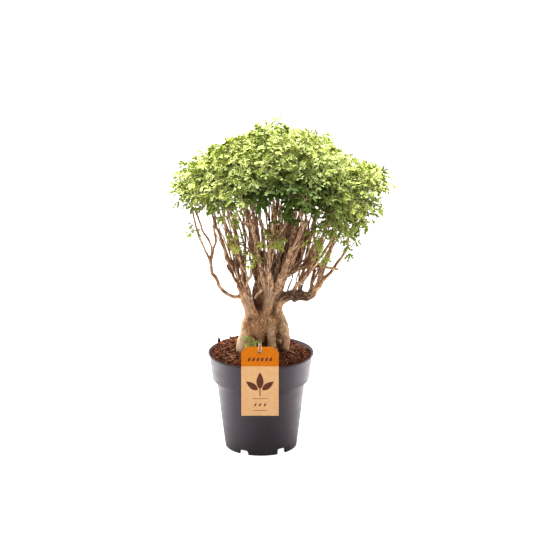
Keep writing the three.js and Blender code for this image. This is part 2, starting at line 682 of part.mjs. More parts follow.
function makeTag() {
  const half = TAG_WIDTH / 2;
  const card = new THREE.Shape();
  card.moveTo(-half, -TAG_HEIGHT);
  card.lineTo(half, -TAG_HEIGHT);
  card.lineTo(half, -TAG_CHAMFER);
  card.lineTo(half - TAG_CHAMFER, 0);
  card.lineTo(-half + TAG_CHAMFER, 0);
  card.lineTo(-half, -TAG_CHAMFER);
  card.closePath();
  const hole = new THREE.Path();
  hole.absarc(0, -HOLE_DROP, HOLE_RADIUS, 0, 2 * Math.PI, true);
  card.holes.push(hole);
  const options = { depth: TAG_THICKNESS, bevelEnabled: false, curveSegments: 8 };
  const plate = new THREE.ExtrudeGeometry(card, options);
  return plate.rotateX(Math.PI / 2).translate(TAG_MIDDLE, TAG_FACE + TAG_THICKNESS, TAG_TOP);
}

function makeString() {
  return stem({ points: STRING_ROUTE, radii: STRING_ROUTE.map(() => STRING_RADIUS) }, 5, { closed: true });
}

const MATERIALS = {
  pot: new THREE.MeshStandardMaterial({ color: 0x2c2629, roughness: 0.35, metalness: 0 }),
  soil: new THREE.MeshStandardMaterial({ color: 0x5d3524, roughness: 0.95, metalness: 0 }),
  wood: new THREE.MeshStandardMaterial({ color: 0x967152, roughness: 0.85, metalness: 0 }),
  leaf: new THREE.MeshStandardMaterial({ color: 0x86a33c, roughness: 0.5, metalness: 0 }),
  card: new THREE.MeshStandardMaterial({ color: 0xefbe8f, roughness: 0.6, metalness: 0 }),
  string: new THREE.MeshStandardMaterial({ color: 0xe6e2da, roughness: 0.4, metalness: 0 }),
};

const aralia = new THREE.Group();

function place(name, geometry, material) {
  const mesh = new THREE.Mesh(geometry, material);
  mesh.name = name;
  aralia.add(mesh);
}

const sprays = [...domeSprays(), ...rimSprays(), ...handSetSprigs()];
const wood = makeWood(sprays);
place("pot", geometryOf(makePot()), MATERIALS.pot);
place("soil", geometryOf(makeSoil(makeStump(GAP + 0.1))), MATERIALS.soil);
place("trunk_and_branches", geometryOf(wood), MATERIALS.wood);
sprays.forEach((spray, index) => {
  place(spray.name, geometryOf(makeSpray(spray, index, sprays, wood)), MATERIALS.leaf);
});
place("hang_tag", makeTag(), MATERIALS.card);
place("tag_string", geometryOf(makeString()), MATERIALS.string);

export default aralia;
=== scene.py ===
"""A potted aralia bonsai: a stump on splayed legs, a dome of variegated leaves, a nursery pot and a tag."""

import math

import bpy
import numpy as np
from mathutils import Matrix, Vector
from mathutils.kdtree import KDTree


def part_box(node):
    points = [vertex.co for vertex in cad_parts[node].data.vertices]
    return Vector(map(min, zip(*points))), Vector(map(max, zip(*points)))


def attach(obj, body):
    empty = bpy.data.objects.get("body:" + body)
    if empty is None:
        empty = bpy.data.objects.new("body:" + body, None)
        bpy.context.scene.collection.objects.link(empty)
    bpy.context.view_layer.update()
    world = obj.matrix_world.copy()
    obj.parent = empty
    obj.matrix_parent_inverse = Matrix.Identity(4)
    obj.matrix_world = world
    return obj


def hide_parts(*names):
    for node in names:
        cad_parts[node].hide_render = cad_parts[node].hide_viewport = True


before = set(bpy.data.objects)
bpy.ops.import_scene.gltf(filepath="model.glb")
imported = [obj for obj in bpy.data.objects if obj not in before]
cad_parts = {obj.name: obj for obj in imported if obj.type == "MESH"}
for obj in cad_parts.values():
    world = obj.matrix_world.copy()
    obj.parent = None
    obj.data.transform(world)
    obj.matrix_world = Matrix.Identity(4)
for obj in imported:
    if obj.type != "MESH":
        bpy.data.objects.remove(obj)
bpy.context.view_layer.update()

# Every size below is in millimetres, and a mesh is turned into metres when it is made
MM = 0.001
GOLDEN_ANGLE = math.pi * (3 - math.sqrt(5))
GOLDEN_RATIO = (1 + math.sqrt(5)) / 2
# Steps whose multiples, without their whole part, spread evenly between 0 and 1
EVEN_STEPS = (0.618, 0.414, 0.732)

RANDOM_SEED = 7

# Camera at the photograph's place, which is in metres
CAMERA_PLACE = (0.010, -4.000, 1.491)
CAMERA_PITCH = 16.12
CAMERA_LENS = 158.1
CAMERA_SENSOR = 36
CAMERA_REACH = 100

# Pot
RIM_RADIUS = 95
POT_HEIGHT = 176
LIP_ROUND = 1.0
FOOT_RECESS = 8
COLLAR_RADIUS = 91
COLLAR_BASE = (87.4, 128.5)
STEP_BASE = (79, 119.5)
FOOT_RADIUS = 65
FOOT_ROUND = 2
POT_WALL = 2.4
FLOOR_THICKNESS = 3
POT_SEGMENTS = 144
NOTCH_WIDTH = 18
NOTCH_ROUND = 4.5
NOTCH_DEPTH = 7
# Each notch's turn from the front, in degrees, and its height
NOTCHES = [(-28.5, 8.6), (35.2, 12), (92, 9), (151.5, 9), (214, 9), (272, 9)]
# A small hole in the wall beside the right notch: turn, height and radius
HOLE = (47.5, 9.7, 1.7)
CUTTER_REACH = 8
POT_SHARP_ANGLE = 32

# Compost
SOIL_LEVEL = 172
SOIL_BOTTOM = 150
SOIL_GAP = 0.3
SOIL_MOUND = 9
SOIL_TILT = (-0.028, 0.012)
SOIL_LUMP = 1.6
SOIL_SHARP_ANGLE = 40
SOIL_RINGS = 62
SOIL_SEGMENTS = 150
HEAP_PLACE = (-44, 64)
HEAP_WIDTH = 32
HEAP_HEIGHT = 4.5
CRUMB_COUNT = 2100
CRUMB_SIZES = (0.7, 1.6)
CLOD_SIZES = (1.8, 3)
CLOD_SHARE = 0.1
CRUMB_EDGE = 2.5
# How many models of a crumb there are for each share of height against width
CRUMB_MODELS = {0.75: 6, 0.3: 4}
FIBRE_COUNT = 760
FIBRE_EDGE = 9
FIBRE_LENGTHS = (5, 13)
FIBRE_RADII = (0.3, 0.65)
FIBRE_STEP = 3

# Crown: a dome over an oval plan, whose edge lies further out on the left and right than in front and behind
CROWN_MIDDLE = 35
CROWN_LEFT = 224
CROWN_RIGHT = 222
CROWN_DEPTH = 166
CROWN_TOP = 598
CROWN_DROP = 113
DIP_AT = 155
DIP_WIDTH = 30
DIP_DEPTH = 32
DOME_SPRAYS = 24
RIM_SPRAYS = 10
SPRAY_REACH = 0.87
SPRAY_CROWDING = 0.46
SPRAY_DEPTH = 22
SPRAY_WAVE = 5
SPRAY_LEAN = 1.5
SPRAY_STALK = 26
RIM_REACH = 0.74
RIM_DROP = 66
RIM_WAVE = 8

# Leaves
DOME_ROSETTES = 205
DOME_REACH = 0.81
DOME_CROWDING = 0.49
RIM_ROSETTES = 88
LOW_RIGHT_ROSETTES = 24
INNER_ROSETTES = 44
INNER_REACH = 0.55
# Bands of rosettes: where a band starts and how wide it is, as shares of the way to the dome's rim
RIM_BAND = (0.52, 0.29)
LOW_RIGHT_BAND = (0.42, 0.34)
# Start and width of the low right rosettes' angle, and of their depth below the dome
LOW_RIGHT_TURN = (-1.2, 1.5)
LOW_RIGHT_SINK = (58, 52)
# Least and greatest depth below the dome
DOME_SINKS = (22, 38)
INNER_SINKS = (44, 72)
RIM_LEAST_SINK = 36
ROSETTE_LEAVES = (5, 9)
ROSETTE_SIZES = (0.85, 1.12)
ROSETTE_DEPTH = 13
# How steeply the youngest and the oldest leaf of a rosette rise, in degrees
YOUNG_RISE = 56
OLD_RISE = -2
# Where the leaves on the left lie below the even dome: depth, x where it starts, and width it grows over
LEFT_SINKS = [(14, -60, 70), (12, -128, 30)]
HOLLOW_DEPTH = 5
HOLLOW_SIZE = 38
# How far below the dome the lowest leaves hang, by their x: least in the middle and most on the right
HANG_PLACES = [-150, -60, -20, 30, 60, 120, 190, 230]
HANG_DEPTHS = [58, 62, 66, 44, 78, 92, 80, 60]
LEAFLET_ROWS = 5
LEAFLET_LENGTH = 18
LEAFLET_WIDTH = 0.42
LEAFLET_THICKNESS = 0.3
# Share of the width at a tooth and between teeth, and how far each is moved towards the tip
TOOTH_WIDTHS = (1.2, 0.62)
TOOTH_SHIFTS = (0.06, -0.03)
LEAF_MODELS = 16
PETIOLE = 15
PETIOLE_RADIUS = 0.45
PETIOLE_STEP = 7
PAIR_SPACING = 5.5
# A sprig's leaves against the size that its row in the list gives
SPRIG_SCALE = 1.25

# Wood
# Sides of its tubes
LIMB_SIDES = 20
FORM_SIDES = 16
KNOB_SIDES = 12
THIN_END_SIDES = 7
BRANCH_SIDES = 6
ROOT_SIDES = 5
SPUR_SIDES = 4
# Sides of twigs, leaf stalks and fibres
FINE_SIDES = 3
# A stem thinner than this stays a tube of its own, and is not fused into the stump
THICK_STEM = 3.4
WOOD_VOXEL = 1.5
WOOD_SMOOTHING = 5
WOOD_SHARP_ANGLE = 80
FIRST_BRANCH_SEED = 60
TWIG_RADIUS = 1.5
TWIG_STEP = 9
LENGTH_COST = 1.7
SHARED_COST = 14
LEVEL_COST = 60
TIP_FAVOUR = 30
LEAST_RISE = 9
STATION_SPACING = 14
BRANCH_BEND = 0.35
BRANCH_MIDDLE = 0.62
BRANCH_TAPER = 0.008
GRAIN_SHIFT = 37.0
STEM_STEP = 3
BUNDLE_START = 290
# Share of the radius that a limb loses above that height: stems round it make up for it in a bundle
SLIMMER_IN_BUNDLE = 0.48
SLIMMER_ALONE = -0.12
FILLER_STEMS = 80
FILLER_REACH = 0.72
FILLER_SINK = 52
FILLER_HEIGHTS = (276, 345)
FILLER_MIDDLE = 16
FILLER_START = 300
FILLER_GATHER = 0.36
FILLER_SHARED_COST = 9
FILLER_RADII = (1.1, 2.1)
SPUR_SPACING = 26
SPUR_LENGTHS = (1.5, 6)
SPUR_PLACES = (0.12, 0.8)
SPUR_LEANS = (0.3, 1.4)
SPUR_THICKEST = 4
ROOT_MAT_LOW = (-16, -60, 188)
ROOT_MAT_HIGH = (44, 6, 256)
ROOT_MAT_COUNT = 130
ROOT_STEP = 2.2
ROOT_RADII = (0.45, 0.95)
ROOT_STEPS = (6, 16)
ROOT_LIFT = 0.35
ROOT_WANDER = 0.38

# Tag's string
STRING_RADIUS = 0.5
STRING_SIDES = 8
STRING_STEP = 1.2

# A stem is written as its rows of x, y, z and radius

# Legs of the stump, from below the soil up into the body
LEGS = [
    # Left leg
    (
        [-34, -12, 150, 9], [-33, -11, 170, 12], [-31, -10, 190, 14], [-21, -6, 214, 18.5],
        [-15, -3, 238, 17],
    ),
    # Middle leg, which the string is tied round
    (
        [21, -17, 150, 6], [20, -17, 170, 8], [19, -16, 192, 8], [18, -14, 208, 9], [16, -11, 222, 13.5],
        [14, -6, 240, 17],
    ),
    # Right leg
    (
        [46, -7, 150, 5], [45, -6, 170, 6.5], [43.5, -5, 196, 7.5], [41, -4, 209, 10], [33, -2, 223, 16],
        [23, 0, 244, 17],
    ),
    # Leg at the back left
    (
        [-22, 36, 150, 7], [-20, 34, 170, 10], [-18, 30, 192, 11], [-12, 20, 216, 16], [-6, 10, 240, 17],
    ),
    # Leg at the back right
    ([30, 38, 150, 6], [28, 36, 170, 9], [26, 32, 192, 10], [20, 22, 217, 16], [14, 12, 240, 17]),
]
BODY = ([2, 4, 215, 24], [3, 4, 227, 33], [9, 3, 241, 26], [17, 4, 255, 17], [20, 4, 268, 12])

# Limbs and stems as they rise from the stump
LIMBS = [
    # Left limb, cut off short at the top
    ([-16, -3, 234, 15], [-21, -5, 254, 8.5], [-26, -7, 276, 10.5], [-28, -8, 294, 9]),
    # Middle limb
    (
        [10, -2, 240, 13], [13, -4, 262, 11], [16, -5, 284, 10.5], [17, -5, 304, 9.5], [20, -3, 338, 7.5],
        [24, 0, 371, 6], [27, 2, 402, 4.5], [24, 4, 438, 3],
    ),
    # Right limb, which runs level before it rises
    (
        [24, 0, 246, 13], [32, 3, 267, 11], [46, 4, 278, 10], [62, 3, 281, 9.5], [79, 1, 280, 8.5],
        [91, -2, 285, 7], [99, -4, 297, 6], [108, -4, 306, 5],
    ),
    # Limb behind the middle
    (
        [8, 2, 258, 10], [1, 5, 286, 8.5], [-2, 6, 316, 8], [-3, 6, 343, 7], [-4, 4, 378, 6],
        [-6, 2, 404, 4.5], [-13, -2, 432, 3],
    ),
    # Leaning limb on the right of the middle
    (
        [22, 2, 264, 10], [31, 5, 296, 10], [50, 8, 324, 9], [68, 8, 346, 8], [75, 8, 375, 7],
        [75, 6, 403, 5.5], [68, 4, 434, 3.5],
    ),
    # Knobbly left branch
    (
        [-30, -8, 284, 8], [-36, -6, 300, 6.5], [-43, -4, 320, 6], [-49, -2, 334, 5.8], [-50, -2, 341, 4.5],
    ),
    # Its thin end
    (
        [-50, -2, 334, 5], [-55, 0, 342, 3.5], [-61, 2, 353, 3], [-67, 4, 372, 2.6], [-73, 6, 390, 2.3],
        [-84, 8, 424, 1.8],
    ),
    # Stem left of the middle, leaning forwards
    (
        [-40, -6, 314, 6], [-42, -10, 342, 5.5], [-46, -16, 376, 4.5], [-56, -24, 410, 3.5],
        [-66, -32, 440, 2.5],
    ),
    # Second stem, steeper
    (
        [-24, -10, 286, 7], [-28, -14, 320, 5.5], [-28, -18, 356, 4.5], [-29, -22, 392, 4],
        [-36, -28, 430, 2.8],
    ),
    # Stem at the back left
    (
        [-24, 0, 288, 7], [-34, 14, 322, 5.5], [-40, 28, 360, 4.5], [-48, 44, 400, 3.5],
        [-58, 60, 436, 2.5],
    ),
    # Short forked twig
    ([-32, -10, 294, 3.5], [-25, -17, 312, 2.6], [-17, -20, 330, 2.2], [-10, -24, 362, 1.8]),
    # Branch that loops out to the far left
    (
        [-27, -8, 281, 5], [-41, -9, 283, 4], [-57, -10, 286, 3.6], [-68, -10, 295, 3.4],
        [-78, -9, 309, 3.2], [-85, -8, 323, 3], [-87, -7, 338, 3], [-90, -6, 352, 3.3],
    ),
    # Its outer fork
    (
        [-90, -6, 349, 2.6], [-97, -8, 364, 2], [-105, -10, 382, 1.9], [-111, -12, 400, 1.8],
        [-118, -14, 426, 1.6], [-120, -16, 444, 1.5],
    ),
    # Its back fork
    (
        [-89, -6, 351, 2.4], [-87, 1, 366, 1.9], [-94, 7, 380, 1.8], [-103, 13, 396, 1.7],
        [-111, 20, 414, 1.6], [-117, 26, 438, 1.5],
    ),
    # Its inner fork
    (
        [-88, -7, 350, 2.4], [-83, -4, 370, 1.9], [-81, -2, 386, 1.8], [-82, 0, 404, 1.7],
        [-84, 2, 426, 1.6], [-88, 4, 446, 1.5],
    ),
    # Branch to the far right
    (
        [104, -4, 302, 4.6], [112, -4, 313, 3.6], [121, -5, 322, 2.7], [134, -6, 341, 2.4],
        [149, -8, 365, 2.2], [156, -9, 386, 2], [158, -9, 400, 1.9], [165, -10, 415, 1.8],
        [178, -12, 438, 1.6],
    ),
    # Upright from the right limb
    (
        [102, -4, 299, 5], [106, -2, 322, 4.2], [114, 0, 342, 3.8], [122, 2, 359, 3.4], [127, 4, 380, 3],
        [130, 6, 408, 2.6], [138, 8, 438, 2],
    ),
    # Curved stem from the right limb
    (
        [58, 0, 283, 5], [61, -5, 296, 4], [67, -8, 307, 3.6], [78, -12, 320, 3.4], [87, -16, 334, 3.2],
        [93, -20, 347, 3], [98, -26, 368, 2.7], [106, -34, 394, 2.4], [117, -44, 426, 2],
    ),
    # Stem behind it
    (
        [70, 4, 283, 4.4], [71, 9, 300, 3], [75, 15, 317, 2.8], [82, 27, 346, 2.6], [92, 43, 384, 2.3],
        [105, 61, 426, 2],
    ),
    # Stem at the back right
    (
        [90, 0, 286, 4.4], [92, 5, 308, 3], [95, 11, 326, 2.8], [102, 21, 352, 2.5], [115, 37, 390, 2.2],
        [134, 54, 428, 1.9],
    ),
    # Side twig of the curved stem
    ([94, -20, 342, 2.6], [108, -22, 361, 2.2], [120, -25, 386, 2], [136, -31, 420, 1.8]),
    # Bare twig that ends cut off on the right
    (
        [48, 4, 318, 4.2], [58, -4, 327, 3.2], [71, -9, 333, 2.8], [90, -12, 339, 2.5],
        [105, -13, 338, 2.3], [122, -14, 336, 2.2], [137, -15, 334, 2.1],
    ),
    # Cut stub facing the front
    ([-3, 4, 348, 6], [4, -6, 358, 6], [11, -19, 357, 5.6]),
    # Front stems
    (
        [16, -4, 292, 7], [27, -9, 330, 5.5], [34, -17, 366, 4.5], [40, -27, 404, 3.8], [46, -39, 440, 2.6],
    ),
    ([22, 3, 292, 6.5], [36, 6, 332, 5], [45, 9, 366, 4.4], [51, 12, 404, 3.8], [54, 15, 444, 2.6]),
    (
        [25, -2, 286, 7], [44, -11, 326, 5.5], [58, -21, 358, 4.5], [67, -33, 392, 3.6],
        [78, -49, 430, 2.5],
    ),
    # Back stems
    (
        [14, 4, 286, 8], [18, 20, 326, 5.5], [22, 36, 364, 4.5], [26, 54, 404, 3.6], [30, 75, 442, 2.5],
    ),
    (
        [24, 6, 286, 7.5], [40, 24, 326, 5.2], [54, 42, 362, 4.4], [67, 60, 400, 3.5], [82, 79, 438, 2.5],
    ),
    (
        [2, 6, 284, 7.5], [-8, 22, 324, 5.2], [-14, 40, 362, 4.4], [-20, 58, 402, 3.5], [-28, 77, 440, 2.5],
    ),
    # Front stems that lean out
    (
        [10, -6, 288, 7], [2, -18, 328, 4.6], [-4, -32, 366, 4], [-10, -50, 404, 3.4], [-18, -73, 442, 2.4],
    ),
    (
        [15, -8, 288, 7], [14, -23, 330, 4.6], [16, -39, 368, 4], [20, -59, 406, 3.4], [24, -83, 444, 2.4],
    ),
    (
        [24, -4, 288, 7], [38, -21, 328, 4.6], [52, -39, 366, 4], [64, -59, 402, 3.4], [77, -82, 438, 2.4],
    ),
    # Upper fork of the leaning limb
    ([62, 8, 338, 5.5], [74, 12, 362, 4], [88, 14, 390, 3.2], [100, 14, 428, 2.4]),
]

# Sprigs below the crown, on top of it and at the foot: name, middle, direction, leaf, leaves, stalk
SPRIGS = [
    ("sprig_front", [26, -62, 398], [0.2, -0.8, 0.5], 22, 3, 12),
    ("sprig_middle", [-15, -36, 358], [0.3, -0.9, 0.3], 15, 2, 9),
    ("sprig_left", [-46, -44, 394], [-0.5, -0.8, 0.4], 17, 3, 11),
    ("sprig_right", [96, -60, 408], [0.2, -0.8, 0.6], 22, 3, 12),
    ("sprig_low_right", [112, -34, 362], [0.5, -0.8, 0.2], 16, 2, 10),
    ("sprig_outer_right", [150, -34, 402], [0.5, -0.8, 0.4], 18, 3, 12),
    ("sprig_outer_left", [-122, -22, 404], [-0.8, -0.5, -0.2], 14, 2, 11),
    ("sprig_top", [29, 40, 590], [0.1, 0.1, 1], 14, 1, 16),
    ("sprout_foot", [-17, -40, 207], [-0.3, -0.9, -0.1], 13, 3, 8),
]

# The string: from the middle leg twice through the tag's hole, and back round the leg
STRING_ROUTE = [
    [9.4, -20, 185.5], [5, -34, 186.5], [2, -50, 190], [0, -66, 196], [-1.2, -80, 204], [-2.2, -90, 214],
    [-2.8, -95.5, 222.5], [-3.8, -98, 219], [-4.2, -98.1, 212.5], [-3.4, -97.9, 208], [-2.9, -96, 206.4],
    [-2.3, -94.3, 207], [-0.7, -94.1, 207], [-0.1, -96, 206.4], [0.4, -97.9, 208], [1.2, -98.1, 212.5],
    [0.8, -98, 219], [0, -95.5, 222.5], [0.6, -90, 213.6], [2.2, -80, 203], [6, -62, 193], [13, -42, 187.5],
    [22, -28, 185.5], [28.6, -20, 185.5], [28.8, -14, 185.5], [25, -7.4, 185.5], [19, -5.8, 185.5],
    [12, -8.4, 185.5], [9, -14, 185.5],
]


def unit(vectors):
    vectors = np.asarray(vectors, float)
    return vectors / np.linalg.norm(vectors, axis=-1, keepdims=True)


def turns_round(sides):
    """The angles of a ring's points."""
    return np.arange(sides) * 2 * math.pi / sides


def tree_of(points):
    """A search tree for the nearest of many points."""
    tree = KDTree(len(points))
    for i, point in enumerate(points):
        tree.insert(point, i)
    tree.balance()
    return tree


def add_to_scene(name, data):
    item = bpy.data.objects.new(name, data)
    bpy.context.scene.collection.objects.link(item)
    return item


def noise(points):
    """Smooth noise from -1 to 1, with lumps about one unit across."""
    cell = np.floor(points)
    part = points - cell
    part = part * part * (3 - 2 * part)
    total = 0
    for corner in np.ndindex(2, 2, 2):
        value = np.sin((cell + corner) @ np.array([127.1, 311.7, 74.7])) * 43758.5453
        weight = np.prod(np.where(np.array(corner), part, 1 - part), axis=-1)
        total = total + weight * (2 * (value % 1) - 1)
    return total


def smooth_path(rows, spacing):
    """A smooth curve through rows of numbers that start with x, y, z, with a row about every spacing."""
    rows = np.asarray(rows, float)
    steps = np.linalg.norm(np.diff(rows[:, :3], axis=0), axis=1)
    times = np.concatenate([[0], np.cumsum(np.sqrt(steps))])
    slopes = np.gradient(rows, times, axis=0)
    parts = []
    for i, step in enumerate(steps):
        count = max(1, round(step / spacing))
        u = (np.arange(count) / count)[:, None]
        span = times[i + 1] - times[i]
        start = (1 + 2 * u) * (1 - u) ** 2 * rows[i] + u * (1 - u) ** 2 * span * slopes[i]
        end = u * u * (3 - 2 * u) * rows[i + 1] + u * u * (u - 1) * span * slopes[i + 1]
        parts.append(start + end)
    return np.vstack([*parts, rows[-1:]])


def lengths_along(points):
    steps = np.linalg.norm(np.diff(points, axis=0), axis=1)
    return np.concatenate([[0], np.cumsum(steps)])


def frames_along(points, closed=False):
    """Tangent and two directions across it at each point, turned as little as can be on the way."""
    if closed:
        tangents = unit(np.roll(points, -1, axis=0) - np.roll(points, 1, axis=0))
    else:
        tangents = unit(np.gradient(points, axis=0))
    upright = abs(tangents[0][2]) > 0.9
    across = np.cross(tangents[0], (1, 0, 0) if upright else (0, 0, 1))
    found = []
    for tangent in tangents:
        across = unit(across - tangent * (across @ tangent))
        found.append(across)
    across = np.array(found)
    return tangents, across, np.cross(tangents, across)


class Shape:
    """Points, triangles and values at the points, gathered for one mesh."""

    def __init__(self):
        self.points = []
        self.triangles = []
        self.finishes = []
        self.values = []
        self.count = 0

    def add(self, points, triangles, finish=0, **values):
        """Adds a part. A value is one number or vector for the part, or one for each of its points."""
        self.points.append(points)
        self.triangles.append(triangles + self.count)
        self.finishes.append(np.broadcast_to(finish, len(triangles)))
        self.values.append(values)
        self.count += len(points)

    def value(self, name):
        """One value at every point, 0 where a part doesn't have it."""
        width = max(np.ndim(values[name]) for values in self.values if name in values)
        size = (3,) if width == 2 else ()
        parts = [
            np.broadcast_to(values.get(name, 0.0), (len(points), *size))
            for points, values in zip(self.points, self.values)
        ]
        return np.concatenate(parts)

    def mesh(self, name, smooth_below=50):
        """The mesh in metres, smooth where two faces meet at less than this angle in degrees."""
        points = np.vstack(self.points) * MM
        triangles = np.vstack(self.triangles)
        mesh = bpy.data.meshes.new(name)
        mesh.vertices.add(len(points))
        mesh.vertices.foreach_set("co", points.astype(np.float32).ravel())
        mesh.loops.add(triangles.size)
        mesh.loops.foreach_set("vertex_index", triangles.astype(np.int32).ravel())
        mesh.polygons.add(len(triangles))
        mesh.polygons.foreach_set("loop_start", np.arange(0, triangles.size, 3, dtype=np.int32))
        mesh.polygons.foreach_set("material_index", np.concatenate(self.finishes).astype(np.int32))
        mesh.update(calc_edges=True)
        for value_name in sorted({key for values in self.values for key in values}):
            values = self.value(value_name).astype(np.float32)
            if values.ndim == 2:
                layer = mesh.attributes.new(value_name, "FLOAT_VECTOR", "POINT")
                layer.data.foreach_set("vector", values.ravel())
            else:
                layer = mesh.attributes.new(value_name, "FLOAT", "POINT")
                layer.data.foreach_set("value", values)
        mesh.shade_smooth()
        mesh.set_sharp_from_angle(angle=math.radians(smooth_below))
        return mesh


def make_piece(name, mesh, materials, slot, *nodes):
    """A piece of the object with its materials, which rides on the body and stands for these nodes."""
    for material in materials:
        mesh.materials.append(material)
    piece = add_to_scene(name, mesh)
    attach(piece, "root")
    if nodes:
        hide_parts(*nodes)


def ring_triangles(rings, sides, closed=False):
    """Triangles between neighbouring rings of points, facing outwards."""
    i, j = np.meshgrid(np.arange(rings if closed else rings - 1), np.arange(sides), indexing="ij")
    above = (i + 1) % rings
    beside = (j + 1) % sides
    a, b, c, d = i * sides + j, i * sides + beside, above * sides + beside, above * sides + j
    return np.vstack([np.stack([a, b, c], -1).reshape(-1, 3), np.stack([a, c, d], -1).reshape(-1, 3)])


def cap_triangles(first, centre, sides, backwards):
    """A fan from the centre to a ring whose first point is given."""
    j = np.arange(sides)
    here, beside = first + j, first + (j + 1) % sides
    ring = (beside, here) if backwards else (here, beside)
    return np.stack([np.full(sides, centre), *ring], -1)


def tube_triangles(rings, sides):
    """Triangles of a closed tube: its rings of points, then the middle of its first and of its last end."""
    count = rings * sides
    return np.vstack([
        ring_triangles(rings, sides),
        cap_triangles(0, count, sides, True),
        cap_triangles(count - sides, count + 1, sides, False),
    ])


def prism_triangles(sides):
    """Triangles of a prism: the points round one end and that end's middle, then those of the other end."""
    here = np.arange(sides)
    beside = (here + 1) % sides
    other = sides + 1
    return np.vstack([
        np.stack([here, beside, other + beside], -1),
        np.stack([here, other + beside, other + here], -1),
        np.stack([np.full(sides, sides), beside, here], -1),
        np.stack([np.full(sides, other + sides), other + here, other + beside], -1),
    ])


def add_tube(shape, path, sides, finish=0, relief=None, seed=0, **values):
    """A tube along a path of x, y, z and radius, with rounded ends and its grain along it."""
    points, radii = path[:, :3], path[:, 3]
    tangents, across, over = frames_along(points)
    turns = turns_round(sides)
    outward = np.cos(turns)[:, None] * across[:, None] + np.sin(turns)[:, None] * over[:, None]
    along = lengths_along(points)[:, None]
    reach = radii[:, None]
    grain = np.stack(np.broadcast_arrays(reach * np.cos(turns), reach * np.sin(turns), along), -1)
    grain = grain + seed * GRAIN_SHIFT
    swell = reach if relief is None else reach + relief(grain, reach)
    rings = points[:, None] + outward * swell[..., None]
    ends = np.array([points[0] - tangents[0] * radii[0] * 0.4, points[-1] + tangents[-1] * radii[-1] * 0.4])
    end_grain = np.array([grain[0].mean(0), grain[-1].mean(0)])
    shape.add(np.vstack([rings.reshape(-1, 3), ends]), tube_triangles(len(points), sides), finish,
              grain=np.vstack([grain.reshape(-1, 3), end_grain]), **values)


# The crown's places

def crown_height(x, y):
    across = (x - CROWN_MIDDLE) / np.where(x < CROWN_MIDDLE, CROWN_LEFT, CROWN_RIGHT)
    deep = y / CROWN_DEPTH
    dip = DIP_DEPTH * np.exp(-(((x - DIP_AT) / DIP_WIDTH) ** 2))
    return CROWN_TOP - CROWN_DROP * (across**2 + deep**2) - dip


def crown_place(share, angle, sink):
    """A point under the dome, at a share of the way from its middle to its rim."""
    side = CROWN_LEFT if math.cos(angle) < 0 else CROWN_RIGHT
    x = CROWN_MIDDLE + share * side * math.cos(angle)
    y = share * CROWN_DEPTH * math.sin(angle)
    return np.array([x, y, float(crown_height(x, y)) - sink])


def crown_spray(name, share, angle, sink):
    lean = SPRAY_LEAN * share
    axis = unit([lean * math.cos(angle), lean * math.sin(angle), 1])
    return {"name": name, "centre": crown_place(share, angle, sink), "axis": axis, "stalk": SPRAY_STALK}


def find_sprays():
    """The sprays of the crown: those over the dome on a sunflower's spiral, then those below its rim."""
    sprays = []
    for i in range(DOME_SPRAYS):
        share = SPRAY_REACH * ((i + 0.5) / DOME_SPRAYS) ** SPRAY_CROWDING
        sink = SPRAY_DEPTH + SPRAY_WAVE * math.sin(2.4 * i)
        sprays.append(crown_spray(f"crown_spray_{i + 1:02d}", share, i * GOLDEN_ANGLE, sink))
    for i in range(RIM_SPRAYS):
        angle = (i + 0.5) / RIM_SPRAYS * 2 * math.pi
        sink = RIM_DROP + RIM_WAVE * math.sin(2.1 * i)
        sprays.append(crown_spray(f"rim_spray_{i + 1:02d}", RIM_REACH, angle, sink))
    return sprays


def find_sprigs():
    sprigs = []
    for name, centre, axis, leaf, leaves, stalk in SPRIGS:
        sprigs.append({"name": name, "centre": np.array(centre, float), "axis": unit(axis), "stalk": stalk,
                       "leaf": leaf, "leaves": leaves})
    return sprigs


def foot_of(spray):
    return spray["centre"] - spray["axis"] * spray["stalk"]


# Wood

def find_stations():
    """Places along the legs and limbs where a branch can start."""
    places = []
    for rows in [*LEGS, *LIMBS]:
        path = smooth_path(rows, 1)
        along = lengths_along(path[:, :3])
        count = math.ceil(along[-1] / STATION_SPACING)
        for i in range(2, count + 1):
            row = path[min(np.searchsorted(along, along[-1] * i / count), len(path) - 1)]
            places.append({"point": row[:3], "radius": row[3], "tip": i == count, "taken": 0})
    return places


def find_branches(sprays, places):
    """A branch to each spray's foot, from the limb that leads to it best."""
    paths = []
    for spray in sprays:
        foot = foot_of(spray)

        def cost(place):
            way = foot - place["point"]
            length = np.linalg.norm(way)
            rise = way @ spray["axis"] / max(length, 1)
            level = LEVEL_COST if min(way[2], length) < LEAST_RISE else 0
            favour = TIP_FAVOUR if place["tip"] and not place["taken"] else 0
            return length * (LENGTH_COST - rise) + SHARED_COST * place["taken"] + level - favour

        start = min(places, key=cost)
        start["taken"] += 1
        length = np.linalg.norm(foot - start["point"])
        bend = foot - spray["axis"] * BRANCH_BEND * length
        middle = start["point"] + (bend - start["point"]) * BRANCH_MIDDLE
        first = min(0.75 * start["radius"], TWIG_RADIUS + BRANCH_TAPER * length)
        paths.append([
            [*start["point"], first],
            [*middle, max(TWIG_RADIUS, 0.8 * first)],
            [*(foot - spray["axis"] * 5), TWIG_RADIUS],
            [*(foot + spray["axis"] * 2), 0.9 * TWIG_RADIUS],
        ])
    return paths


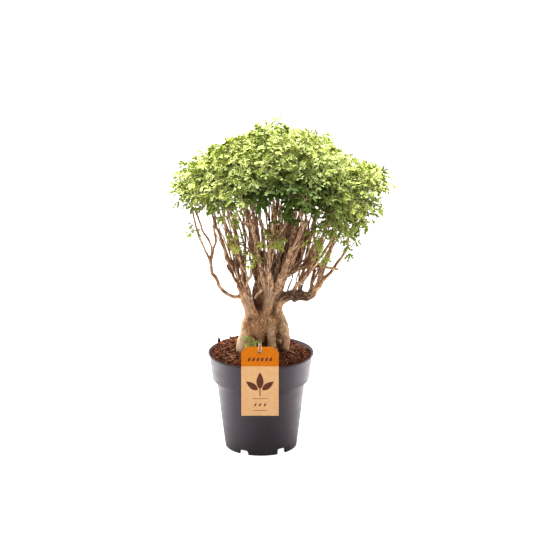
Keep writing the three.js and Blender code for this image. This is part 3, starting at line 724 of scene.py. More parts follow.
def find_fillers(rng, places):
    """Thin stems that rise side by side from low on the limbs into the crown."""
    lowest, highest = FILLER_HEIGHTS
    low = [place for place in places if lowest < place["point"][2] < highest]
    paths = []
    for i in range(FILLER_STEMS):
        share = FILLER_REACH * math.sqrt((i + 0.5) / FILLER_STEMS)
        end = crown_place(share, i * GOLDEN_ANGLE + 0.8, FILLER_SINK)
        below_x = FILLER_MIDDLE + FILLER_GATHER * (end[0] - FILLER_MIDDLE)
        below = np.array([below_x, FILLER_GATHER * end[1], FILLER_START])

        def cost(place):
            return np.linalg.norm(place["point"] - below) + FILLER_SHARED_COST * place["taken"]

        start = min(low, key=cost)
        start["taken"] += 1
        first = start["point"]
        middle = first + (end - first) * 0.42 + rng.normal(0, 3.5, 3) * (1, 1, 0.2)
        upper = first + (end - first) * 0.75 + rng.normal(0, 4, 3) * (1, 1, 0.2) + (0, 0, 6)
        thick = rng.uniform(*FILLER_RADII)
        paths.append([[*first, thick], [*middle, 0.8 * thick], [*upper, 0.62 * thick], [*end, 1.1]])
    return paths


def find_spurs(rng, paths):
    """Short broken twigs and buds along the thin stems."""
    spurs = []
    for path in paths:
        along = lengths_along(path[:, :3])
        tangents, across, over = frames_along(path[:, :3])
        for _ in range(int(along[-1] / SPUR_SPACING)):
            i = int(np.searchsorted(along, along[-1] * rng.uniform(*SPUR_PLACES)))
            turn = rng.uniform(0, 2 * math.pi)
            out = math.cos(turn) * across[i] + math.sin(turn) * over[i]
            way = unit(out + tangents[i] * rng.uniform(*SPUR_LEANS))
            start = path[i, :3]
            radius = min(path[i, 3], SPUR_THICKEST)
            length = radius + rng.uniform(*SPUR_LENGTHS)
            rows = [
                [*start, 0.55 * radius],
                [*(start + way * 0.6 * length), 0.42 * radius],
                [*(start + way * length + (0, 0, 1)), 0.24 * radius],
            ]
            spurs.append(smooth_path(rows, 2))
    return spurs


# Relief of the bark. Each row: size of its lumps across and along the grain, and how high they are: as a
# share of the stem's radius, and at most
SWELLINGS = ((11, 11, 17), 0.1, 1.3)
SCARS = ((14, 14, 3.6), 0.2, 0.7)
RIDGES = ((3.4, 3.4, 13), 0.16, 1.0)
CRACKS = ((1.6, 1.6, 6), 0.07, 0.3)


def bark_relief(grain, radii):
    """How far bark stands out, in millimetres: leaf scars and ridges are lower on a thick limb."""
    calm = 1 - 0.75 * np.clip((radii - 6) / 6, 0, 1)

    def lumps(size, share, most, least=-1):
        return np.clip(noise(grain / size), least, 1) * np.minimum(share * radii, most)

    return lumps(*SWELLINGS) + lumps(*SCARS, least=0) * calm + lumps(*RIDGES) * calm + lumps(*CRACKS)


def crooked(path, seed, sway=2.3):
    """A stem's path with small bends, which leave its ends where they are."""
    along = lengths_along(path[:, :3])
    ends = np.clip(np.minimum(along, along[-1] - along) / 18, 0, 1)
    for axis in range(3):
        places = np.broadcast_arrays(along / 17, 5.3 * seed, 40.0 * axis)
        path[:, axis] += sway * ends * noise(np.stack(places, -1))
    return path


def parts_of_stem(rows, seed, bundled):
    """A stem's smooth path, split where it gets thin, with some overlap: the thick part and the thin part."""
    path = crooked(smooth_path(rows, STEM_STEP), seed)
    high_up = np.clip((path[:, 2] - BUNDLE_START) / 30, 0, 1)
    path[:, 3] *= 1 - (SLIMMER_IN_BUNDLE if bundled else SLIMMER_ALONE) * high_up
    thin = np.nonzero(path[:, 3] < THICK_STEM)[0]
    cut = thin[0] if len(thin) else len(path)
    thick_part = path[:cut + 2] if cut > 2 else None
    thin_part = path[max(cut - 3, 0):] if cut < len(path) - 1 else None
    return thick_part, thin_part


def remeshed(shape, voxel, smoothing):
    """Points and triangles of one surface round all of a shape's parts."""
    source = add_to_scene("source", shape.mesh("source"))
    remesh = source.modifiers.new("remesh", "REMESH")
    remesh.mode = "VOXEL"
    remesh.voxel_size = voxel * MM
    smooth = source.modifiers.new("smooth", "SMOOTH")
    smooth.iterations = smoothing
    triangulate = source.modifiers.new("triangulate", "TRIANGULATE")
    triangulate.quad_method = "BEAUTY"
    graph = bpy.context.evaluated_depsgraph_get()
    made = bpy.data.meshes.new_from_object(source.evaluated_get(graph))
    points = np.zeros(len(made.vertices) * 3)
    made.vertices.foreach_get("co", points)
    normals = np.zeros(len(made.vertices) * 3)
    made.vertices.foreach_get("normal", normals)
    triangles = np.zeros(len(made.polygons) * 3, np.int32)
    made.polygons.foreach_get("vertices", triangles)
    bpy.data.meshes.remove(made)
    bpy.data.objects.remove(source)
    return points.reshape(-1, 3) / MM, normals.reshape(-1, 3), triangles.reshape(-1, 3)


def grain_near(points, samples):
    """The grain and the radius of the nearest stem at each point."""
    rows, frames, offsets = [], [], []
    for path, seed in samples:
        tangents, across, over = frames_along(path[:, :3])
        along = lengths_along(path[:, :3])
        rows.append(np.column_stack([path, along]))
        frames.append(np.stack([across, over, tangents], 1))
        offsets.append(np.full(len(path), seed * GRAIN_SHIFT))
    rows, frames, offsets = np.vstack(rows), np.concatenate(frames), np.concatenate(offsets)
    tree = tree_of(rows[:, :3])
    nearest = np.array([tree.find(point)[1] for point in points])
    local = np.einsum("nij,nj->ni", frames[nearest], points - rows[nearest, :3])
    local[:, 2] += rows[nearest, 4]
    return local + offsets[nearest, None], rows[nearest, 3]


# Knobs and old stubs on the stump and limbs: middle and radius
KNOBS = [
    (40, -6, 220, 10), (37, -12, 231, 8), (33, -8, 240, 8), (-27, -12, 226, 8), (27, -8, 254, 7),
    (31, 0, 258, 6), (-10, 22, 238, 12), (26, 18, 236, 12), (82, -4, 276, 6), (60, -3, 274, 6),
    (46, 9, 272, 7), (-90, -6, 351, 4.4), (-46, -3, 333, 7.5), (20, -16, 236, 8), (43, -4, 217, 9),
]

# Further forms of the stump: stems that are fused into it over their whole length
STUMP_FORMS = [
    # Fibrous root that hangs down in front between the legs
    ([5, -5, 240, 14], [2, -12, 233, 17], [-1, -15, 224, 15], [-1, -19, 212, 9], [2, -23, 203, 3.6]),
    # Foot of the left limb, which stands out from the body
    ([-9, -20, 245, 4], [-13, -18, 251, 8], [-18, -15, 261, 9.5], [-25, -11, 274, 10]),
    # Wood inside, behind the hollows
    ([8, 12, 176, 15], [6, 12, 205, 19], [5, 8, 226, 24]),
    # Wood behind the fork of the left and middle limbs
    ([4, 4, 248, 11], [-5, 6, 266, 9], [-9, 8, 284, 7], [-7, 8, 304, 5]),
    # Thorn on the right
    ([22, -2, 261, 4.5], [33, -1, 265, 2.2], [43, 0, 266, 0.6]),
    # Ridges of bark beside the fork
    ([-27, -15, 298, 2.2], [-21, -17, 284, 2.7], [-14, -17, 268, 2.7]),
    ([8, -9, 302, 2.8], [-3, -14, 291, 2.8], [-11, -17, 280, 2.4]),
    ([31, -11, 299, 2.6], [23, -14, 284, 2.8], [16, -15, 267, 2.8]),
]

# Limbs that are bundles of stems grown together: number in the list of limbs, and how many stems lie round it
BUNDLES = {1: 4, 3: 4, 4: 6, 5: 3, 7: 2, 8: 2, 9: 2}
STRAND_STEP = 6
STRAND_RADII = (1.7, 2.9)


def find_strands(rng):
    """The stems that lie round each bundled limb and part from it as they rise."""
    strands = []
    for number, count in BUNDLES.items():
        path = smooth_path(LIMBS[number], STRAND_STEP)
        points, radii = path[:, :3], path[:, 3]
        _, across, over = frames_along(points)
        along = lengths_along(points)
        risen = np.clip((points[:, 2] - BUNDLE_START) / 60, 0, 1)
        for k in range(count):
            turn = 2 * math.pi * k / count + rng.uniform(-0.4, 0.4)
            turns = turn + along * rng.uniform(-0.012, 0.012) + 0.5 * np.sin(along / 31 + turn)
            away = (0.45 + 0.45 * risen) * radii + risen * (2 + along * rng.uniform(0.03, 0.13))
            wander = noise(np.stack(np.broadcast_arrays(along / 26, turns, 9.0 * k + number), -1))
            away = (away + wander * 1.6)[:, None]
            middle = points + (across * np.cos(turns)[:, None] + over * np.sin(turns)[:, None]) * away
            thick = np.clip(0.34 * radii, *STRAND_RADII) * rng.uniform(0.85, 1.1)
            keep = points[:, 2] > BUNDLE_START - 22
            strands.append(np.column_stack([middle, thick])[keep])
    return strands


def find_fine_roots(rng, points, normals):
    """Fine roots that wander down over the front of the stump."""
    tree = tree_of(points)
    within = np.all((points > ROOT_MAT_LOW) & (points < ROOT_MAT_HIGH), axis=1)
    starts = np.nonzero(within & (normals[:, 1] < -0.2))[0]
    roots = []
    for _ in range(ROOT_MAT_COUNT):
        here = points[rng.choice(starts)]
        way = unit([rng.normal(0, 1.0), -0.2, -0.8])
        thick = rng.uniform(*ROOT_RADII)
        rows = []
        for _ in range(int(rng.integers(*ROOT_STEPS))):
            i = tree.find(here)[1]
            rows.append([*(points[i] + normals[i] * ROOT_LIFT), thick])
            way = unit(way - normals[i] * (way @ normals[i]) + rng.normal(0, ROOT_WANDER, 3))
            here = points[i] + way * ROOT_STEP
            thick *= 0.96
        roots.append(smooth_path(rows, 1.5))
    return roots


def gather_stems(thin):
    """The thick stems, forms and knobs in one shape, with their paths. Thin stems go into the shape given."""
    thick = Shape()
    samples = []
    stems = [*LEGS, BODY, *LIMBS]
    for seed, rows in enumerate(stems):
        limb = seed - len(LEGS) - 1
        thick_part, thin_part = parts_of_stem(rows, seed, limb in BUNDLES)
        if thick_part is not None:
            add_tube(thick, thick_part, LIMB_SIDES, seed=seed)
            samples.append((thick_part, seed))
        if thin_part is not None:
            add_tube(thin, thin_part, THIN_END_SIDES, relief=bark_relief, seed=seed)
    for seed, rows in enumerate(STUMP_FORMS, len(stems)):
        form = smooth_path(rows, STEM_STEP)
        add_tube(thick, form, FORM_SIDES, seed=seed)
        samples.append((form, seed))
    for x, y, z, radius in KNOBS:
        heights = [(z - 0.7 * radius, 0.55 * radius), (z, radius), (z + 0.7 * radius, 0.5 * radius)]
        add_tube(thick, smooth_path([[x, y, *row] for row in heights], 2), KNOB_SIDES)
    return thick, samples


def make_wood(rng, sprays):
    """The stump with its limbs and fine roots, and the thin stems that rise from it."""
    places = find_stations()
    branches = find_branches(sprays, places)
    fillers = find_fillers(rng, places)
    thin = Shape()
    thick, samples = gather_stems(thin)
    points, normals, triangles = remeshed(thick, WOOD_VOXEL, WOOD_SMOOTHING)
    grain, radii = grain_near(points, samples)
    points = points + normals * bark_relief(grain, radii)[:, None]
    body = Shape()
    body.add(points, triangles, grain=grain)
    for seed, root in enumerate(find_fine_roots(rng, points, normals)):
        add_tube(body, root, ROOT_SIDES, seed=seed, tone=1)
    paths = []
    for seed, rows in enumerate([*branches, *fillers, *find_strands(rng)], FIRST_BRANCH_SEED):
        paths.append(crooked(smooth_path(rows, STEM_STEP), seed))
        add_tube(thin, paths[-1], BRANCH_SIDES, relief=bark_relief, seed=seed)
    for spur in find_spurs(rng, paths):
        add_tube(thin, spur, SPUR_SIDES, seed=len(spur))
    return body, thin


# Leaves

def leaflet_triangles():
    """Both faces of a leaflet. Its points: base, tip, rows of left edge, upper rib, right edge, lower rib."""
    left, upper, right, lower = (2 + 4 * np.arange(LEAFLET_ROWS) + k for k in range(4))
    triangles = []
    for rib, turn in ((upper, 1), (lower, -1)):
        face = [(0, right[0], rib[0]), (0, rib[0], left[0]), (rib[-1], 1, left[-1]), (right[-1], 1, rib[-1])]
        for i in range(LEAFLET_ROWS - 1):
            face += [(rib[i], rib[i + 1], left[i + 1]), (rib[i], left[i + 1], left[i])]
            face += [(rib[i], right[i], right[i + 1]), (rib[i], right[i + 1], rib[i + 1])]
        triangles += [corners[::turn] for corners in face]
    return np.array(triangles)


LEAFLET_TRIANGLES = leaflet_triangles()
LEAFLET_EDGE = np.array([0.4, 1.0] + [1.0, 0.0, 1.0, 0.0] * LEAFLET_ROWS)


def leaflet_points(rng, length):
    """A toothed leaflet from its base at the origin along +x, folded at its rib and drooping to its tip."""
    share = np.linspace(0, 1, LEAFLET_ROWS + 2)[1:-1]
    half = 0.5 * LEAFLET_WIDTH * length * np.sin(math.pi * share**1.1) ** 0.6
    between = np.arange(LEAFLET_ROWS) % 2
    wide = half * np.choose(between, TOOTH_WIDTHS) * rng.uniform(0.88, 1.12, (2, LEAFLET_ROWS))
    fold = rng.uniform(0.05, 0.5)
    droop = rng.uniform(0.05, 0.4) * length
    wave = rng.uniform(-0.07, 0.07, (2, LEAFLET_ROWS)) * length
    x = share * length
    forward = np.choose(between, TOOTH_SHIFTS) * length
    z = -droop * share**2
    rows = np.stack([
        np.stack([x + forward, wide[0], z + fold * wide[0] + wave[0]], -1),
        np.stack([x, 0 * x, z + LEAFLET_THICKNESS / 2], -1),
        np.stack([x + forward, -wide[1], z + fold * wide[1] + wave[1]], -1),
        np.stack([x, 0 * x, z - LEAFLET_THICKNESS / 2], -1),
    ], 1)
    return np.vstack([[0, 0, 0], [length, 0, -droop], rows.reshape(-1, 3)])


def turned(points, roll, pitch, yaw):
    """Points rolled about x, then with their +x end lowered by the pitch, then turned about z."""
    cr, sr = math.cos(roll), math.sin(roll)
    cp, sp = math.cos(pitch), math.sin(pitch)
    cy, sy = math.cos(yaw), math.sin(yaw)
    about_x = np.array([[1, 0, 0], [0, cr, -sr], [0, sr, cr]])
    about_y = np.array([[cp, 0, sp], [0, 1, 0], [-sp, 0, cp]])
    about_z = np.array([[cy, -sy, 0], [sy, cy, 0], [0, 0, 1]])
    return points @ (about_z @ about_y @ about_x).T


# Leaflets of a compound leaf: place along the stalk past the first pair, turn in degrees, share of length
LEAFLET_PLACES = [(0.0, 92, 0.76), (0.0, -92, 0.76), (1.0, 44, 0.94), (1.0, -44, 0.94), (1.05, 0, 1.08)]


def leaf_model(rng):
    """A compound leaf with its stalk from the origin along +x, its blade level and facing up."""
    leaf = Shape()
    length = PETIOLE * rng.uniform(0.8, 1.2)
    arch = rng.uniform(2, 5)
    stalk = smooth_path([
        [0, 0, 0, 1.25 * PETIOLE_RADIUS],
        [0.5 * length, rng.normal(0, 0.7), arch, PETIOLE_RADIUS],
        [length, 0, 0.9 * arch, 0.9 * PETIOLE_RADIUS],
        [length + PAIR_SPACING, 0, 0.5 * arch, 0.7 * PETIOLE_RADIUS],
    ], PETIOLE_STEP)
    add_tube(leaf, stalk, FINE_SIDES, finish=1, edge=0)
    for place, turn, share in LEAFLET_PLACES:
        blade = leaflet_points(rng, LEAFLET_LENGTH * share * rng.uniform(0.82, 1.12))
        yaw = math.radians(turn + rng.normal(0, 9))
        pitch = math.radians(rng.uniform(-6, 26))
        blade = turned(blade, rng.normal(0, 0.35), pitch, yaw)
        base = np.array([length + PAIR_SPACING * min(place, 1), 0, arch * (0.9 - 0.4 * min(place, 1))])
        leaf.add(blade + base, LEAFLET_TRIANGLES, finish=0, edge=LEAFLET_EDGE, grain=blade)
    return leaf


def stacked(shape):
    """A shape's parts joined in one, to be copied many times."""
    return {
        "points": np.vstack(shape.points),
        "triangles": np.vstack(shape.triangles),
        "finish": np.concatenate(shape.finishes),
        "edge": shape.value("edge"),
        "grain": shape.value("grain"),
    }


def add_leaf(shape, model, base, way, up, size, tone):
    """A copy of a leaf model, with its stalk along one direction and its blade facing another."""
    way = unit(way)
    side = unit(np.cross(up, way))
    turn = np.stack([way, side, np.cross(way, side)], 0)
    points = base + (model["points"] * size) @ turn
    shape.add(points, model["triangles"], model["finish"], edge=model["edge"],
              grain=model["grain"] + tone * 90.0, tone=tone)


def add_rosette(shape, rng, models, tip, axis, leaves, size=1.0, painted_light=0.0):
    """Leaves round the end of a twig, the youngest small and upright, the oldest lowest and spread out."""
    axis = unit(axis)
    across = unit(np.cross(axis, (0.3, 1, 0.2)))
    over = np.cross(axis, across)
    first = rng.uniform(0, 2 * math.pi)
    for k in range(leaves):
        age = (k + 0.5) / leaves
        turn = first + k * GOLDEN_ANGLE
        rise = math.radians(YOUNG_RISE + (OLD_RISE - YOUNG_RISE) * age + rng.normal(0, 9))
        outward = math.cos(turn) * across + math.sin(turn) * over
        way = math.cos(rise) * outward + math.sin(rise) * axis
        up = axis * 0.25 + np.array([0, 0, 1.1]) + rng.normal(0, 0.24, 3)
        base = tip - axis * (ROSETTE_DEPTH * age) * size
        scale = size * (0.62 + 0.4 * age) * rng.uniform(0.9, 1.1)
        # Leaves with painted light get tones above 1, which the leaf finish paints lighter and yellower
        tone = rng.uniform() * (1 - painted_light) + painted_light * rng.uniform(1.1, 1.6)
        add_leaf(shape, models[rng.integers(len(models))], base, way, up, scale, tone)


def crown_unevenness(place):
    """How far the leaves lie below the even dome: lower on the left and in hollows between the bunches."""
    left = sum(depth * np.clip((start - place[0]) / width, 0, 1) for depth, start, width in LEFT_SINKS)
    hollow = HOLLOW_DEPTH * noise(np.array([place[0] / HOLLOW_SIZE, place[1] / HOLLOW_SIZE, 3.0]))
    return left + hollow


def evenly(i, band, run=0):
    """One of many values spread evenly over a band, given by its start and width. Each run differs."""
    start, width = band
    return start + width * ((i * EVEN_STEPS[run]) % 1)


def crown_sites(rng):
    """Where the crown's rosettes sit: over the dome, under its rim, low on the right, and a few inside."""
    sites = []
    for i in range(DOME_ROSETTES):
        share = DOME_REACH * ((i + 0.5) / DOME_ROSETTES) ** DOME_CROWDING
        sites.append((share, i * GOLDEN_ANGLE + 0.4, rng.uniform(*DOME_SINKS), 1.0))
    for i in range(RIM_ROSETTES):
        share = evenly(i, RIM_BAND)
        angle = i * GOLDEN_ANGLE + 1.1
        lowest = float(np.interp(crown_place(share, angle, 0)[0], HANG_PLACES, HANG_DEPTHS))
        sites.append((share, angle, rng.uniform(RIM_LEAST_SINK, lowest), 0.25))
    for i in range(LOW_RIGHT_ROSETTES):
        share = evenly(i, LOW_RIGHT_BAND)
        sites.append((share, evenly(i, LOW_RIGHT_TURN, 1), evenly(i, LOW_RIGHT_SINK, 2), 0.3))
    for i in range(INNER_ROSETTES):
        share = INNER_REACH * math.sqrt((i + 0.5) / INNER_ROSETTES)
        sites.append((share, i * GOLDEN_ANGLE + 2.3, rng.uniform(*INNER_SINKS), 0.6))
    made = []
    for share, angle, sink, upright in sites:
        place = crown_place(share, angle, sink) + rng.normal(0, 5, 3) * (1, 1, 0.4)
        place[2] -= crown_unevenness(place)
        lean = 0.25 + 1.0 * share
        made.append((place, unit([lean * math.cos(angle), lean * math.sin(angle), upright])))
    return made


def make_foliage(rng, sprays, sprigs):
    """A shape for each spray: its twigs from where the branch ends, and its rosettes of leaves."""
    models = [stacked(leaf_model(rng)) for _ in range(LEAF_MODELS)]
    centres = np.array([spray["centre"] for spray in sprays])
    shapes = {spray["name"]: Shape() for spray in [*sprays, *sprigs]}
    own = [(spray["centre"] - (0, 0, 4), spray["axis"]) for spray in sprays]
    for place, axis in [*own, *crown_sites(rng)]:
        spray = sprays[np.argmin(np.linalg.norm(centres - place, axis=1))]
        shape = shapes[spray["name"]]
        leaves = int(rng.integers(*ROSETTE_LEAVES))
        add_rosette(shape, rng, models, place, axis, leaves, rng.uniform(*ROSETTE_SIZES))
        add_twig(shape, rng, spray, place, axis)
    for sprig in sprigs:
        shape = shapes[sprig["name"]]
        size = SPRIG_SCALE * sprig["leaf"] / (PETIOLE + PAIR_SPACING + 0.7 * LEAFLET_LENGTH)
        across = unit(np.cross(sprig["axis"], (0, 0.2, 1)))
        for side in (-1, 1):
            tip = sprig["centre"] + across * side * 0.28 * sprig["leaf"] + rng.normal(0, 1.5, 3)
            axis = sprig["axis"] + 0.4 * side * across
            # Painted light: the sprigs' leaves are painted lighter and yellower, except those of the sprout
            # at the foot
            painted_light = 0 if sprig["name"] == "sprout_foot" else 1
            add_rosette(shape, rng, models, tip, axis, sprig["leaves"] + 3, size, painted_light)
            add_twig(shape, rng, sprig, tip, sprig["axis"])
    return shapes


def add_twig(shape, rng, spray, tip, axis):
    """A twig from the end of the spray's branch to the middle of a rosette."""
    foot = foot_of(spray)
    reach = np.linalg.norm(tip - foot)
    rows = [
        [*foot, TWIG_RADIUS * 0.85],
        [*(foot + spray["axis"] * 0.28 * reach), TWIG_RADIUS * 0.75],
        [*(tip - axis * 0.3 * reach + rng.normal(0, 1.5, 3)), TWIG_RADIUS * 0.6],
        [*tip, TWIG_RADIUS * 0.5],
    ]
    add_tube(shape, smooth_path(rows, TWIG_STEP), FINE_SIDES, finish=2, edge=0, tone=0.5)


# Pot, compost, tag and string

def inside_radius(height):
    """Radius of the pot's inner face at a height, above the floor."""
    heights = [0, STEP_BASE[1], COLLAR_BASE[1], POT_HEIGHT]
    radii = [FOOT_RADIUS, STEP_BASE[0], COLLAR_BASE[0], COLLAR_RADIUS + 2]
    return np.interp(height, heights, radii) - POT_WALL


def arc(centre, radius, start, end, steps=5):
    """Points of an arc in the profile, from one angle in degrees to another."""
    turns = np.radians(np.linspace(start, end, steps))
    return [(centre[0] + radius * math.cos(t), centre[1] + radius * math.sin(t)) for t in turns]


def pot_profile():
    """The pot's section from the middle of its foot, up the outside, over the lip and down to its floor."""
    foot, lip, top = FOOT_RADIUS, RIM_RADIUS - LIP_ROUND, POT_HEIGHT
    step_x, step_z = STEP_BASE
    collar_x, collar_z = COLLAR_BASE
    return [
        # Under the foot and round its edge
        (foot - 9, FOOT_RECESS), (foot - 5.5, FOOT_RECESS - 1), (foot - 4.5, 0.4), (foot - 4, 0),
        *arc((foot - FOOT_ROUND, FOOT_ROUND), FOOT_ROUND, -90, 0),
        # Up the tapered wall to the step
        (foot + 0.24 * (step_x - foot), 0.24 * step_z), (foot + 0.62 * (step_x - foot), 0.6 * step_z),
        (step_x - 0.3, step_z - 3), (step_x, step_z - 0.6), (step_x + 0.8, step_z + 0.6),
        # Out to the collar and up it
        (collar_x - 3, collar_z - 3.4), (collar_x - 1, collar_z - 1.9), (collar_x, collar_z),
        (collar_x + 0.5, collar_z + 2.6), (collar_x + 0.9, collar_z + 6), (collar_x + 2.6, 150),
        (COLLAR_RADIUS + 1, top - 9), (COLLAR_RADIUS + 2, top - 4.6), (COLLAR_RADIUS + 3, top - 2.8),
        # Over the lip
        *arc((lip, top - LIP_ROUND), LIP_ROUND, -40, 90, 7), (lip - 0.9, top - 0.3), (lip - 1.8, top - 1.6),
        # Down the inside to the floor
        *[(inside_radius(height), height) for height in (top - 5, 150, 124, 116, 60)],
        (inside_radius(12) - 0.5, 12), (inside_radius(12) - 2, FOOT_RECESS + FLOOR_THICKNESS),
    ]


def lathe(profile, segments, low, high):
    """A closed solid of revolution, whose ends meet the axis at heights low and high."""
    turns = turns_round(segments)
    rings = [[(r * math.cos(t), r * math.sin(t), z) for t in turns] for r, z in profile]
    points = np.vstack([*rings, [(0, 0, low), (0, 0, high)]])
    return points, tube_triangles(len(profile), segments)


def notch_outline(height):
    """A notch's outline as places across and up."""
    half, low = NOTCH_WIDTH / 2, -4
    middle = height - NOTCH_ROUND
    return [(-half, low), (half, low), *arc((half - NOTCH_ROUND, middle), NOTCH_ROUND, 0, 90),
            *arc((NOTCH_ROUND - half, middle), NOTCH_ROUND, 90, 180)]


def add_cutter(cutter, turn, outline, middle):
    """A block of this outline that passes through the wall at a turn from the front."""
    turn = math.radians(turn)
    out = np.array([math.sin(turn), -math.cos(turn), 0])
    side = np.array([math.cos(turn), math.sin(turn), 0])
    points = []
    for reach in (FOOT_RADIUS - NOTCH_DEPTH, FOOT_RADIUS + CUTTER_REACH):
        points += [out * reach + side * across + np.array([0, 0, z]) for across, z in outline]
        points.append(out * reach + np.array([0, 0, middle]))
    cutter.add(np.array(points), prism_triangles(len(outline)))


def wall_cutter():
    """The drain notches round the foot and the small hole."""
    cutter = Shape()
    for turn, height in NOTCHES:
        add_cutter(cutter, turn, notch_outline(height), 0.3 * height)
    turn, height, radius = HOLE
    add_cutter(cutter, turn, arc((0, height), radius, 0, 330, 12), height)
    return cutter


def make_pot():
    """The pot's mesh, with its notches cut."""
    pot = Shape()
    pot.add(*lathe(pot_profile(), POT_SEGMENTS, FOOT_RECESS, FOOT_RECESS + FLOOR_THICKNESS))
    body = add_to_scene("pot_body", pot.mesh("pot_body"))
    cutter = add_to_scene("pot_cutter", wall_cutter().mesh("pot_cutter"))
    cut = body.modifiers.new("notches", "BOOLEAN")
    cut.object = cutter
    cut.operation = "DIFFERENCE"
    cut.solver = "EXACT"
    graph = bpy.context.evaluated_depsgraph_get()
    mesh = bpy.data.meshes.new_from_object(body.evaluated_get(graph))
    for item in (body, cutter):
        bpy.data.objects.remove(item)
    mesh.shade_smooth()
    mesh.set_sharp_from_angle(angle=math.radians(POT_SHARP_ANGLE))
    return mesh


def soil_height(x, y):
    share = np.minimum(1, np.hypot(x, y) / inside_radius(SOIL_LEVEL))
    tilt = SOIL_TILT[0] * x + SOIL_TILT[1] * y
    lumps = np.sin(0.31 * x + 1.3) * np.cos(0.27 * y - 0.4) + 0.7 * np.sin(0.17 * x - 0.23 * y)
    away = np.hypot(x - HEAP_PLACE[0], y - HEAP_PLACE[1]) / HEAP_WIDTH
    heap = HEAP_HEIGHT * np.exp(-(away**2))
    return SOIL_LEVEL + 0.6 + SOIL_MOUND * (1 - share**2) + tilt + heap + SOIL_LUMP * lumps


def soil_crust(x, y):
    """Height of the compost with its crumbs."""
    flat = np.stack([x, y, np.zeros_like(x)], -1)
    coarse = noise(flat / 6.5) * 1.2
    fine = noise(flat / 2.6 + 50) * 0.9 + noise(flat / 1.2 + 90) * 0.4
    return soil_height(x, y) + coarse + fine


def crumb_model(rng, flat):
    """A rough lump of compost with twelve corners, about 2 mm across."""
    g = GOLDEN_RATIO
    corners = [
        (-1, g, 0), (1, g, 0), (-1, -g, 0), (1, -g, 0), (0, -1, g), (0, 1, g), (0, -1, -g), (0, 1, -g),
        (g, 0, -1), (g, 0, 1), (-g, 0, -1), (-g, 0, 1),
    ]
    triangles = [
        (0, 11, 5), (0, 5, 1), (0, 1, 7), (0, 7, 10), (0, 10, 11), (1, 5, 9), (5, 11, 4), (11, 10, 2),
        (10, 7, 6), (7, 1, 8), (3, 9, 4), (3, 4, 2), (3, 2, 6), (3, 6, 8), (3, 8, 9), (4, 9, 5), (2, 4, 11),
        (6, 2, 10), (8, 6, 7), (9, 8, 1),
    ]
    points = unit(np.array(corners, float)) * rng.uniform(0.65, 1.2, (len(corners), 1))
    return points * (1, rng.uniform(0.5, 1), flat), np.array(triangles)


def soil_place(rng, reach):
    """A random place on the compost within a reach of the pot's middle."""
    radius = reach * math.sqrt(rng.uniform())
    turn = rng.uniform(0, 2 * math.pi)
    return radius * math.cos(turn), radius * math.sin(turn)


def add_crumbs(soil, rng, reach):
    models = [crumb_model(rng, flat) for flat, count in CRUMB_MODELS.items() for _ in range(count)]
    for _ in range(CRUMB_COUNT):
        x, y = soil_place(rng, reach)
        sizes = CLOD_SIZES if rng.uniform() >= 1 - CLOD_SHARE else CRUMB_SIZES
        size = rng.uniform(*sizes)
        points, triangles = models[rng.integers(len(models))]
        lump = turned(points * size, rng.normal(0, 0.5), rng.normal(0, 0.5), rng.uniform(0, 2 * math.pi))
        height = float(soil_height(x, y)) + rng.uniform(-0.2, 1.5)
        soil.add(lump + (x, y, height), triangles, tone=rng.uniform())


def add_fibres(soil, rng, reach):
    for _ in range(FIBRE_COUNT):
        x, y = soil_place(rng, reach)
        heading = rng.uniform(0, 2 * math.pi)
        length = rng.uniform(*FIBRE_LENGTHS)
        curl = rng.normal(0, 1.0)
        rows = []
        for _ in range(4):
            height = float(soil_height(x, y)) + 1.3 + rng.uniform(-0.8, 1.8)
            rows.append([x, y, height, rng.uniform(*FIBRE_RADII)])
            x += math.cos(heading) * length / 3
            y += math.sin(heading) * length / 3
            heading += curl
        add_tube(soil, smooth_path(rows, FIBRE_STEP), FINE_SIDES, finish=1, tone=rng.uniform())


def make_soil(rng):
    """The compost: a crust over a flat underside, with crumbs and fibres strewn on it."""
    soil = Shape()
    turns = turns_round(SOIL_SEGMENTS)
    edge = inside_radius(SOIL_LEVEL) - SOIL_GAP
    radii = np.linspace(edge, edge / SOIL_RINGS, SOIL_RINGS)[:, None]
    x, y = radii * np.cos(turns), radii * np.sin(turns)
    top = np.stack([x, y, soil_crust(x, y)], -1).reshape(-1, 3)
    under = inside_radius(SOIL_BOTTOM) - SOIL_GAP
    below = np.stack([under * np.cos(turns), under * np.sin(turns), np.full(SOIL_SEGMENTS, SOIL_BOTTOM)], -1)
    peak = float(soil_crust(np.zeros(1), np.zeros(1))[0])
    points = np.vstack([below, top, [(0, 0, SOIL_BOTTOM), (0, 0, peak)]])
    soil.add(points, tube_triangles(SOIL_RINGS + 1, SOIL_SEGMENTS), tone=0.5)
    add_crumbs(soil, rng, edge - CRUMB_EDGE)
    add_fibres(soil, rng, edge - FIBRE_EDGE)
    return soil


# Loose bits on the compost: rows of x, y, height above it and radius
STICK = [(-75.4, 52, -6, 3.0), (-75.8, 52, 3, 2.9), (-76.5, 51.6, 7, 2.4)]
ROOT_ENDS = [
    [(-64, 80, -2, 0.5), (-63.5, 79, 4, 0.45), (-65, 78, 9, 0.35)],
    [(-52, 76, -1, 0.9), (-57, 77, 3, 0.8), (-61, 79, 4, 0.6)],
    [(58, 70, -3, 0.4), (60, 71, 9, 0.35), (58, 73, 18, 0.3), (56, 74, 24, 0.25)],
    [(34, -24, 0.5, 1.3), (42, -18, 3, 1.2), (52, -14, 2.5, 1.0), (60, -20, 1, 0.8)],
    [(40, -34, 0.6, 1.1), (44, -24, 2.6, 1.0), (49, -10, 2.4, 0.8)],
    [(66, 40, 0, 0.7), (70, 33, 3, 0.6), (75, 28, 1, 0.5)],
]
LITTER_SIDES = 7


